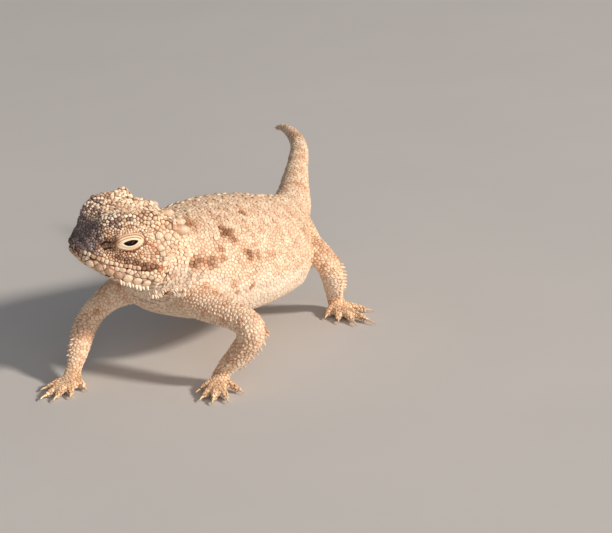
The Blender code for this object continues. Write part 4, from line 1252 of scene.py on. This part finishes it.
def plates(name, chosen, levels, drawn, rounded, finish):
    """Close-set plates on the chosen roots. Each level is reach, height and crest, from the rim
    up to a rough tip, which is drawn to the rear by a share of the plate's radius."""
    rng = Random(len(chosen))
    points, faces, crest, shade, source, patch = [], [], [], [], [], []
    rim_edges = set()
    for i in chosen:
        normal = Vector(plate_roots["out"][i])
        ahead = Vector(plate_roots["lie"][i])
        ahead = (ahead - normal * ahead.dot(normal)).normalized()
        along = ahead.cross(normal)
        centre = Vector(plate_roots["place"][i])
        corners = cell_round(i, along, ahead, centre)
        if not corners:
            continue
        count = len(corners)
        middle = sum(corners, Vector((0, 0))) / count
        radius, rise = plate_radii[i], plate_rises[i]
        tip = middle + Vector((rng.uniform(-0.15, 0.15), drawn + rng.uniform(-0.1, 0.15))) * radius
        tone = rng.random()
        first = len(points)
        for reach, height, share in levels:
            heart = middle.lerp(tip, max(0.0, height))
            for corner in corners:
                flat_at = heart.lerp(corner, reach)
                up = height * rise * (rng.uniform(0.86, 1.1) if height > 0 else 1.0)
                points.append(centre + along * flat_at.x + ahead * flat_at.y + normal * up)
                crest.append(share)
                patch.append(flat_at / radius)
        tall = rise * rng.uniform(0.95, 1.2)
        points.append(centre + along * tip.x + ahead * tip.y + normal * tall)
        crest.append(1.0)
        patch.append(tip / radius)
        for ring in range(len(levels) - 1):
            low = first + ring * count
            for k in range(count):
                m = (k + 1) % count
                faces.append((low + k, low + m, low + count + m, low + count + k))
        rim_edges.update((first + count + k, first + count + (k + 1) % count) for k in range(count))
        top = first + (len(levels) - 1) * count
        faces += [(top + k, top + (k + 1) % count, len(points) - 1) for k in range(count)]
        faces.append(tuple(first + k for k in reversed(range(count))))
        shade += [tone] * (len(points) - first)
        source += [i] * (len(points) - first)
    mesh = bpy.data.meshes.new(name)
    mesh.from_pydata([(point - ORIGIN) * MM for point in points], [], faces)
    marks = {key: values[source] for key, values in plate_roots["marks"].items()}
    write_marks(mesh, {**marks, "crest": crest, "shade": shade})
    flat = unwrapped(plate_roots["place"][chosen], plate_roots["owner"][chosen])
    flat_of = dict(zip(chosen, flat[:, :2]))
    on_patch = np.array([flat_of[i] for i in source]) + np.array(patch) * PATCH_SHARE * PATCH_WIDTH
    corners = listed(mesh.loops, "vertex_index", np.int32, 1)[:, 0]
    layer = mesh.uv_layers.new(name="OFBake")
    layer.data.foreach_set("uv", on_patch[corners].astype(np.float32).ravel())
    mesh.materials.append(finish)
    if rounded:
        mesh.shade_smooth()
        for edge in mesh.edges:
            low, high = edge.vertices
            edge.use_edge_sharp = (low, high) in rim_edges or (high, low) in rim_edges
    piece = held(mesh, name)
    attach(piece, "root")


# Sizes of the scales over the body: how far apart and how high, at each point of the skin.
local = head_local(at)
rear, above = local[:, 1], local[:, 2]
lid_reach, _ = round_eye(local, LID_AT.y, LID_AT.z, LID_HALF.y, LID_HALF.z)
lid_reach = np.where(np.abs(local[:, 0]) > 2.5, lid_reach, 9.0)
levels = (-2.5, -1.0, 0.2, 1.0, 4.8, 5.4, 6.0)
head_spacing = np.interp(above, levels, (0.38, 0.34, 0.27, 0.26, 0.29, 0.35, 0.38))
head_spacing += 0.07 * step_up(rear, 0.6, 2.4)
on_snout = np.interp(rear, (-5.8, -3.6, -2.0, -0.6), (0.3, 0.32, 0.4, 0.9))
round_lids = np.interp(lid_reach, (0.95, 1.4, 1.8), (0.22, 0.24, 0.9))
head_spacing = np.minimum.reduce([head_spacing, on_snout, round_lids])
head_spacing = np.where(lid_reach < 0.9, 0.0, head_spacing)
head_height = np.interp(above, (-2.5, 0.0, 3.5, 4.6, 5.6), (0.1, 0.15, 0.15, 0.17, 0.18))
on_snout = np.interp(rear, (-5.8, -4.6, -3.6), (0.03, 0.05, 0.4))
round_lids = np.interp(lid_reach, (0.9, 1.9), (0.1, 0.35))
head_height = np.minimum.reduce([head_height, round_lids, on_snout])
body_spacing = np.interp(out[:, 2], (-0.6, -0.2, 0.2, 0.7), (0.42, 0.36, 0.34, 0.34))
body_height = np.interp(out[:, 2], (-0.5, 0.3), (0.05, 0.08))
kinds = [on_head, on_neck | on_trunk, on_leg, on_tail]
spacing = np.select(kinds, [head_spacing, body_spacing, 0.35, 0.38], 0.31)
height = np.select(kinds, [head_height, body_height, 0.13, 0.09], 0.08)
standing = (at[:, 2] < 0.12) & (out[:, 2] < -0.5)
spacing = np.where(standing, 0.0, spacing)

# Named scales of the head, which stand in rows. Each row is a line through a few points.
UPPER_LIP = ((1.0, -5.4, 0.9), (2.6, -4.5, 0.74), (4.2, -2.6, 0.36), (5.0, -0.6, 0.24), (5.6, 1.2, 0.24))
LOWER_LIP = ((1.0, -5.3, 0.28), (2.7, -4.3, 0.14), (4.2, -2.6, -0.14), (5.1, -0.6, -0.28), (5.6, 2.0, -0.3))
UNDER_LIP = ((4.4, -2.2, -0.3), (5.0, -1.0, -0.45), (5.4, 0.6, -0.7), (5.7, 2.4, -0.82))
CHIN = ((2.2, -4.5, -0.15), (3.3, -3.5, -0.45), (4.6, -1.0, -1.02), (5.0, 0.4, -1.34), (5.3, 2.4, -1.66))
HIGH_TEMPLE = ((4.6, 2.8, 5.5), (4.9, 3.6, 5.4), (5.0, 4.4, 5.2))
MIDDLE_TEMPLE = ((5.3, 1.6, 4.3), (5.5, 2.9, 4.2), (5.2, 4.9, 4.4))
LOW_TEMPLE = ((5.6, 2.2, 3.3), (5.6, 3.4, 1.6), (5.4, 3.7, 0.5))
HEAD_ROWS = (  # line, how many scales, their radius and height
    (UPPER_LIP, 16, 0.27, 0.17),
    (LOWER_LIP, 9, 0.27, 0.1),
    (UNDER_LIP, 6, 0.3, 0.09),
    (CHIN, 7, 0.52, 0.2),
    (HIGH_TEMPLE, 3, 0.36, 0.26),
    (MIDDLE_TEMPLE, 3, 0.4, 0.26),
    (LOW_TEMPLE, 4, 0.36, 0.24),
)
named = []  # place, radius and height
for points, count, radius, rise in HEAD_ROWS:
    rng = Random(count)
    line = through(points, 12)
    lengths = np.concatenate([[0], np.cumsum([(b - a).length for a, b in zip(line, line[1:])])])
    for side in (1, -1):
        for i in range(count):
            run = lengths[-1] * (i + 0.5) / count
            k = min(int(np.searchsorted(lengths, run)), len(line) - 1)
            place, _, _ = nearest_on_skin(head_place @ mirrored(line[k], side))
            grow = rng.uniform(0.94, 1.06)
            if all((place - at_horn).length > reach for at_horn, reach in horn_places):
                named.append((place, radius * grow, rise * grow))

# Larger keeled scales in loose rows along the back, from the shoulders to the hips.
BACK_RUN = (-12.5, 13.5)
BACK_ROWS = (  # degrees from the top, spacing and radius
    (9, 2.1, 0.3),
    (19, 1.9, 0.33),
    (32, 2.0, 0.28),
    (45, 2.2, 0.3),
    (58, 2.3, 0.26),
    (70, 2.4, 0.26),
)
rng = Random(11)
for lean, step, radius in BACK_ROWS:
    for side in (1, -1):
        y = BACK_RUN[0] + rng.uniform(0, step)
        while y < BACK_RUN[1]:
            turn = math.radians(side * (lean + rng.uniform(-4, 4)))
            way = Vector((math.sin(turn), 0.0, math.cos(turn)))
            place = skin_tree.ray_cast(Vector((0, y, trunk_level(y))) + way * 30, -way)[0]
            grow = rng.uniform(0.8, 1.15)
            named.append((place, radius * grow, radius * 0.85 * grow))
            y += step * rng.uniform(0.8, 1.2)

# The creases and the nostrils stay bare of plates.
NOSTRIL_REACH = 0.16
bare_places = []  # place and reach
for line, _, _, _, wide in CREASES:
    for point in through([(0, *at_yz) for at_yz in line], 10):
        for side in (1, -1):
            start = head_place @ Vector((side * 8, *point.yz))
            place = skin_tree.ray_cast(start, head_place.to_3x3() @ Vector((-side, 0, 0)))[0]
            if place is not None:
                bare_places.append((place, wide))
for side in (1, -1):
    bare_places.append((nearest_on_skin(head_place @ mirrored(NOSTRIL_AT, side))[0], NOSTRIL_REACH))

taken = [(place, radius * 1.5) for place, radius, _ in named] + horn_places
taken += [(place, wide + 0.07) for place, wide in bare_places]
spots, gaps = even_places(spacing, taken, 7)
spots = settled_apart(spots, gaps, taken, 3)
vertex_tree = tree_of(at)
nearest = np.array([vertex_tree.find(spot)[1] for spot in spots])
count = len(spots)
rng = np.random.default_rng(3)
odd = np.where(on_head[nearest], rng.uniform(0.72, 1.18, count), rng.uniform(0.82, 1.14, count))
uneven = np.where(on_head[nearest], rng.uniform(0.65, 1.3, count), 1.0)
sized = [*zip(spots, gaps * 0.5 * odd, height[nearest] * odd * uneven), *named]
sized += [(place, wide, 0.0) for place, wide in bare_places]
plate_places, plate_radii, plate_rises = (np.array(column) for column in zip(*sized))
plate_roots = as_roots(plate_places, np.zeros((len(plate_places), 3)))
plate_tree = tree_of(plate_roots["place"])

# Levels of the plates: reach from the middle, height and crest, as shares of a plate's own.
# A high crest takes the finish's painted highlight and a low one the gaps' painted shade.
HEAD_LEVELS = ((0.99, -0.5, 0.0), (0.88, 0.4, 0.56), (0.52, 0.82, 0.8))
BODY_LEVELS = ((0.99, -0.8, 0.0), (0.8, 0.6, 0.65))
LEG_LEVELS = ((0.99, -0.5, 0.0), (0.84, 0.3, 0.6))
coat_finish = scaly_finish("scales", 0.9, 0.45)
part_of = np.where(plate_rises > 0, plate_roots["part"], "bare")
is_body = (part_of == "trunk") | (part_of == "neck")
is_back = is_body & (plate_roots["out"][:, 2] >= -0.1)
is_left = plate_roots["place"][:, 0] > 0
for name, mask, levels, drawn, rounded in (
    ("head_scales", part_of == "head", HEAD_LEVELS, 0.22, False),
    ("back_scales_left", is_back & is_left, BODY_LEVELS, 0.1, True),
    ("back_scales_right", is_back & ~is_left, BODY_LEVELS, 0.1, True),
    ("belly_scales", is_body & ~is_back, BODY_LEVELS, 0.1, True),
    ("leg_scales", np.char.startswith(part_of, "leg"), LEG_LEVELS, 0.5, False),
    ("foot_scales", np.char.startswith(part_of, "foot"), BODY_LEVELS, 0.2, True),
    ("tail_scales", part_of == "tail", LEG_LEVELS, 0.4, True),
):
    plates(name, np.flatnonzero(mask), levels, drawn, rounded, coat_finish)

SHAPE_SEED = 41
# The crest of each level sets how much painted highlight or painted shade it takes.
BEAD_LEVELS = ((1.0, -0.7, 0.0), (0.82, 0.35, 0.35), (0.5, 0.85, 0.8))
TOOTH_LEVELS = ((1.0, -0.4, 0.4), (0.9, 0.3, 0.8), (0.66, 0.65, 0.95), (0.34, 0.9, 1.0))
POINT_LEVELS = ((1.0, -0.4, 0.1), (0.8, 0.25, 0.35), (0.48, 0.62, 0.7), (0.2, 0.88, 0.95))


def scale_shape(name, sides, levels, rng):
    """One scale of unit size. Each level is its reach, height and crest."""
    mesh = bmesh.new()
    wander = [rng.uniform(0.88, 1.1) for _ in range(sides)]
    tip = Vector((rng.uniform(-0.12, 0.12), rng.uniform(0.0, 0.2), 1.0))
    rings, crest = [], []
    for reach, height, share in levels:
        ring = []
        for turn, stray in zip(turns_round(sides, 0.5), wander):
            x = math.cos(turn) * reach * stray + tip.x * (1 - reach)
            y = math.sin(turn) * reach * stray + tip.y * (1 - reach)
            ring.append(mesh.verts.new((x, y, height)))
        rings.append(ring)
        crest += [share] * sides
    top = mesh.verts.new(tip)
    crest.append(1.0)
    for near, far in zip(rings, rings[1:]):
        banded(mesh, near, far)
    for i in range(sides):
        mesh.faces.new((rings[-1][i], rings[-1][(i + 1) % sides], top))
    mesh.faces.new(list(reversed(rings[0])))
    data = made(mesh, name)
    flat = [(vertex.co.x * PATCH_SHARE, vertex.co.y * PATCH_SHARE, 0.0) for vertex in data.vertices]
    write_marks(data, {"patch": flat, "crest": crest})
    data.shade_smooth()
    return bpy.data.objects.new(name, data)


def shape_family(name, variants, sides, levels):
    """A collection of a few shapes of one kind, kept out of the scene."""
    rng = Random(SHAPE_SEED)
    family = bpy.data.collections.new(name)
    for i in range(variants):
        family.objects.link(scale_shape(f"{name}_{i}", sides, levels, rng))
    return family


def coat_tree():
    """Geometry Nodes that stand a shape on each root, turned to its normal and its lie."""
    tree = bpy.data.node_groups.new("scale coat", "GeometryNodeTree")
    sockets = (
        ("Roots", "NodeSocketGeometry"),
        ("Shapes", "NodeSocketCollection"),
        ("Size", "NodeSocketFloat"),
        ("Patch width", "NodeSocketFloat"),
        ("Finish", "NodeSocketMaterial"),
    )
    for name, kind in sockets:
        tree.interface.new_socket(name, in_out="INPUT", socket_type=kind)
    tree.interface.new_socket("Coat", in_out="OUTPUT", socket_type="NodeSocketGeometry")
    given = tree.nodes.new("NodeGroupInput")

    def add(kind, settings=(), **values):
        node = tree.nodes.new(kind)
        for key, value in dict(settings).items():
            setattr(node, key, value)
        for name, value in values.items():
            socket = node.inputs[name.replace("_", " ")]
            if isinstance(value, bpy.types.NodeSocket):
                tree.links.new(value, socket)
            else:
                socket.default_value = value
        return node

    def carried(name, kind):
        node = add("GeometryNodeInputNamedAttribute", {"data_type": kind}, Name=name)
        return next(socket for socket in node.outputs if socket.enabled)

    turn = add("FunctionNodeAlignRotationToVector", {"axis": "Z"}, Vector=carried("out", "FLOAT_VECTOR"))
    turn = add(
        "FunctionNodeAlignRotationToVector",
        {"axis": "Y", "pivot_axis": "Z"},
        Rotation=turn.outputs[0],
        Vector=carried("lie", "FLOAT_VECTOR"),
    )
    family = add(
        "GeometryNodeCollectionInfo",
        Collection=given.outputs["Shapes"],
        Separate_Children=True,
        Reset_Children=True,
    )
    grown = add(
        "ShaderNodeVectorMath",
        {"operation": "SCALE"},
        Vector=carried("size", "FLOAT_VECTOR"),
        Scale=given.outputs["Size"],
    )
    stood = add(
        "GeometryNodeInstanceOnPoints",
        Points=given.outputs["Roots"],
        Instance=family.outputs[0],
        Pick_Instance=True,
        Instance_Index=carried("kind", "INT"),
        Rotation=turn.outputs[0],
        Scale=grown.outputs[0],
    )
    solid = add("GeometryNodeRealizeInstances", Geometry=stood.outputs[0])
    spread = add(
        "ShaderNodeVectorMath",
        {"operation": "SCALE"},
        Vector=carried("patch", "FLOAT_VECTOR"),
        Scale=given.outputs["Patch width"],
    )
    flat = add("ShaderNodeVectorMath", {"operation": "ADD"}, Vector=spread.outputs[0])
    tree.links.new(carried("root_uv", "FLOAT_VECTOR"), flat.inputs[1])
    mapped = add(
        "GeometryNodeStoreNamedAttribute",
        {"data_type": "FLOAT2", "domain": "CORNER"},
        Geometry=solid.outputs[0],
        Name="OFBake",
        Value=flat.outputs[0],
    )
    last = mapped.outputs[0]
    for name in ("out", "lie", "size", "kind", "root_uv", "patch"):
        last = add("GeometryNodeRemoveAttribute", Geometry=last, Name=name).outputs[0]
    last = add("GeometryNodeSetMaterial", Geometry=last, Material=given.outputs["Finish"]).outputs[0]
    done = tree.nodes.new("NodeGroupOutput")
    tree.links.new(last, done.inputs[0])
    return tree


COAT_TREE = coat_tree()


def coat(name, roots, family, finish):
    """One piece of equal scales from its roots."""
    count = len(roots["place"])
    mesh = bpy.data.meshes.new(name)
    mesh.vertices.add(count)
    places = (roots["place"] - np.array(ORIGIN)) * MM
    mesh.vertices.foreach_set("co", places.astype(np.float32).ravel())
    write_marks(mesh, {key: roots[key] for key in ("out", "lie", "size")})
    write_marks(mesh, {"root_uv": unwrapped(roots["place"], roots["owner"])})
    rng = np.random.default_rng(len(name))
    layer = mesh.attributes.new("kind", "INT", "POINT")
    layer.data.foreach_set("value", rng.integers(0, len(family.objects), count).astype(np.int32))
    write_marks(mesh, {**roots["marks"], "shade": rng.random(count)})
    holder = held(mesh, name)
    nodes = holder.modifiers.new("coat", "NODES")
    nodes.node_group = COAT_TREE
    inputs = {"Shapes": family, "Size": MM, "Patch width": PATCH_WIDTH, "Finish": finish}
    for socket in COAT_TREE.interface.items_tree:
        if socket.item_type == "SOCKET" and socket.name in inputs:
            nodes[socket.identifier] = inputs[socket.name]
    piece = held(plain_mesh(holder), name)
    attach(piece, "root")


beads = shape_family("bead", 4, 7, BEAD_LEVELS)
spikes = shape_family("spike", 4, 7, POINT_LEVELS)
teeth = shape_family("tooth", 4, 8, TOOTH_LEVELS)

# Beads on the lids: share out from the slit, and which half, 1 for the upper, -1 for the lower
# and 0 for both.
LID_ROWS = ((0.86, 1), (0.68, -1), (0.82, -1), (0.95, 0), (1.04, 0))
BEAD_SPACING = 0.25
head_turn = head_place.to_3x3()
lid_beads = []  # place, way out, lie and size
for side in (1, -1):
    rng = Random(5)
    for share, half in LID_ROWS:
        around = int(2 * math.pi * (LID_HALF.y + LID_HALF.z) / 2 * max(0.5, share) / BEAD_SPACING)
        for k in range(around):
            turn = 2 * math.pi * (k + rng.uniform(-0.15, 0.15)) / around
            if half * math.sin(turn) < 0.12 * abs(half):
                continue
            here = lid_place(side, turn, share + rng.uniform(-0.02, 0.02))
            next_turn = lid_place(side, turn + 0.05, share)
            next_share = lid_place(side, turn, share + 0.03)
            normal = (next_turn - here).cross(next_share - here).normalized()
            if normal.x * side < 0:
                normal.negate()
            wide = (0.135 if half else 0.17) * rng.uniform(0.8, 1.15)
            lie = head_turn @ (next_share - here).normalized()
            lid_beads.append((head_place @ here, head_turn @ normal, lie, (wide, wide * 1.1, 0.09)))
columns = (np.array(column) for column in zip(*lid_beads))
lid_roots = dict(zip(("place", "out", "lie", "size"), columns))
lid_roots["owner"] = np.full(len(lid_beads), [part for part, _, _ in flesh].index("head"))
lid_roots["marks"] = lid_marks(lid_roots["place"])
lid_roots["marks"]["pale"] *= 0.3
lid_roots["marks"]["rust"][:] = 0.3
coat("lid_scales", lid_roots, beads, coat_finish)

# Fringes of pale pointed scales: a row under the jaw and staggered rows on the folds of the throat.
FRINGES = (  # in the head's frame or not, its line, how many, half width, thickness and length
    (True, ((4.4, -1.0, -1.75), (4.7, 0.4, -1.98), (5.0, 2.1, -2.2)), 9, 0.2, 0.16, 0.62),
    (False, ((0.1, -16.75, 10.9), (1.0, -16.95, 11.2), (2.0, -16.6, 11.2)), 11, 0.2, 0.13, 0.6),
    (False, ((0.1, -16.9, 11.5), (1.0, -17.0, 11.8), (2.1, -16.6, 11.9)), 9, 0.18, 0.12, 0.42),
    (False, ((2.8, -15.5, 10.9), (4.1, -15.0, 10.8)), 7, 0.22, 0.14, 0.62),
    (False, ((2.7, -15.6, 11.4), (4.0, -15.1, 11.4)), 6, 0.2, 0.13, 0.45),
)
fringe_teeth = []  # place, way out and size
for in_head, route, count, wide, thick, long in FRINGES:
    rng = Random(count)
    line = through(route, 8)
    for side in (1, -1):
        for i in range(count):
            place = mirrored(line[min(len(line) - 1, int((i + 0.5) / count * len(line)))], side)
            place, normal, _ = nearest_on_skin(head_place @ place if in_head else place)
            grow = rng.uniform(0.85, 1.15)
            way = (normal * 0.8 + Vector((0.3 * side, 0.1, -0.7))).normalized()
            fringe_teeth.append((place, way, (wide * grow, thick * grow, long * grow)))
places, ways, sizes = zip(*fringe_teeth)
fringe = as_roots(places, sizes)
fringe["out"] = np.array(ways)
fringe["lie"] = np.tile((0.0, 0.0, 1.0), (len(fringe_teeth), 1))
fringe["marks"]["pale"][:] = 1.0
coat("fringe_scales", fringe, teeth, coat_finish)

# Pointed scales in rows down the edges of the legs, with four rows more on the arms.
LEG_EDGES = (  # first and last place in quarter stations, how many, facing, half width and length
    (5.0, 11.4, 11, (0.2, 0.9, -0.3), 0.26, 0.5),
    (5.0, 11.0, 9, (0.0, 0.2, 1.0), 0.24, 0.36),
    (12.4, 18.6, 10, (0.75, 0.75, -0.1), 0.27, 0.6),
    (12.8, 18.4, 9, (0.6, -0.6, 0.5), 0.22, 0.36),
)
ARM_EDGES = (
    (12.0, 18.2, 9, (0.7, 0.4, -0.55), 0.3, 0.72),
    (6.0, 11.6, 9, (0.1, -0.8, -0.5), 0.25, 0.42),
    (6.4, 11.4, 8, (0.1, -0.9, 0.1), 0.24, 0.36),
    (12.6, 17.8, 8, (0.1, -0.9, 0.1), 0.24, 0.36),
)
edge_points = []  # place, way out and size
for stations, _, side, _, _, _ in FEET:
    line = [point.to_3d() for point in through(stations, 4)]
    rng = Random(side + 3)
    on_arm = stations in (LEFT_ARM, RIGHT_ARM)
    for first, last, count, facing, wide, long in LEG_EDGES + (ARM_EDGES if on_arm else ()):
        for i in range(count):
            run_at = first + (last - first) * i / (count - 1)
            k = int(run_at)
            point = line[k].lerp(line[k + 1], run_at - k)
            run = (line[k + 1] - line[k]).normalized()
            way = mirrored(facing, side)
            way = (way - run * way.dot(run)).normalized()
            place = skin_tree.ray_cast(point, way)[0]
            grow = rng.uniform(0.85, 1.15)
            size = (wide * grow, wide * 0.8 * grow, long * grow)
            edge_points.append((place, (way + run * 0.65).normalized(), size))
places, ways, sizes = zip(*edge_points)
edge = as_roots(places, sizes)
edge["out"] = np.array(ways)
coat("leg_points", edge, spikes, coat_finish)

# Camera. It stands in front of the animal, a third of the way round to its left, looks down a
# little from the photograph's height and is rolled by a few degrees.
CAMERA_AZIMUTH, CAMERA_HEIGHT, CAMERA_ROLL = 30.02, 17.12, -4.91  # degrees
CAMERA_AWAY = 300.0
CAMERA_AIM = (9.19, 8.56)  # to the right and up, as the camera sees them
CAMERA_SCALE = 8.304  # pixels to a millimetre on the animal
PICTURE_WIDTH = 612  # pixels
SENSOR_WIDTH = 36.0
azimuth, lift, roll = map(math.radians, (CAMERA_AZIMUTH, CAMERA_HEIGHT, CAMERA_ROLL))
back = Vector((math.sin(azimuth) * math.cos(lift), -math.cos(azimuth) * math.cos(lift), math.sin(lift)))
level = Vector((math.cos(azimuth), math.sin(azimuth), 0))
right = math.cos(roll) * level + math.sin(roll) * back.cross(level)
up = -math.sin(roll) * level + math.cos(roll) * back.cross(level)
camera_data = bpy.data.cameras.new("camera")
camera = bpy.data.objects.new("camera", camera_data)
bpy.context.scene.collection.objects.link(camera)
pose = Matrix((right, up, back)).transposed().to_4x4()
pose.translation = (right * CAMERA_AIM[0] + up * CAMERA_AIM[1] + back * CAMERA_AWAY - ORIGIN) * MM
camera.matrix_world = pose
camera_data.sensor_width = SENSOR_WIDTH
camera_data.lens = CAMERA_SCALE * CAMERA_AWAY / PICTURE_WIDTH * SENSOR_WIDTH
camera_data.clip_start = 0.01
camera_data.clip_end = 20.0
bpy.context.scene.camera = camera

# Floor and light. A pale studio floor that runs far back, a warm lamp at the viewer's upper right
# that casts crisp shadows, and a wide, weak and cool one beside the camera.
FLOOR_REACH = 3.0
floor_mesh = bpy.data.meshes.new("floor")
signs = ((-1, -1), (1, -1), (1, 1), (-1, 1))
floor_mesh.from_pydata([(x * FLOOR_REACH, y * FLOOR_REACH, 0) for x, y in signs], [], [(0, 1, 2, 3)])
floor_finish = Finish("floor")
floor_grain = floor_finish.grain(30.0, 3.0)
floor_finish.look(
    Base_Color=floor_finish.blend(floor_grain, tint(204, 198, 193), tint(212, 206, 200)),
    Roughness=0.85,
)
floor_mesh.materials.append(floor_finish.material)
held(floor_mesh, "floor")


def lamp(name, direction, away, size, power, colour):
    """A round lamp that shines on the animal from a direction and a distance."""
    data = bpy.data.lights.new(name, "AREA")
    data.shape = "DISK"
    data.size = size
    data.energy = power
    data.color = colour
    obj = bpy.data.objects.new(name, data)
    bpy.context.scene.collection.objects.link(obj)
    aim = Vector((0.0, 0.0, 0.01))
    obj.location = aim + direction.normalized() * away
    obj.rotation_mode = "QUATERNION"
    obj.rotation_quaternion = direction.to_track_quat("Z", "Y")


lamp("key", right * 0.82 + up * 0.38 + back * 0.66, 2.0, 0.24, 43.0, (1.0, 0.935, 0.86))
lamp("fill", right * 0.2 + up * 0.1 + back * 1.0, 2.0, 1.4, 9.0, (0.92, 0.94, 1.0))
world = bpy.data.worlds.new("studio")
bpy.context.scene.world = world
world.use_nodes = True
world.node_tree.nodes["Background"].inputs["Color"].default_value = (0.8, 0.84, 0.9, 1.0)
world.node_tree.nodes["Background"].inputs["Strength"].default_value = 0.25
bpy.context.scene.view_settings.view_transform = "Standard"
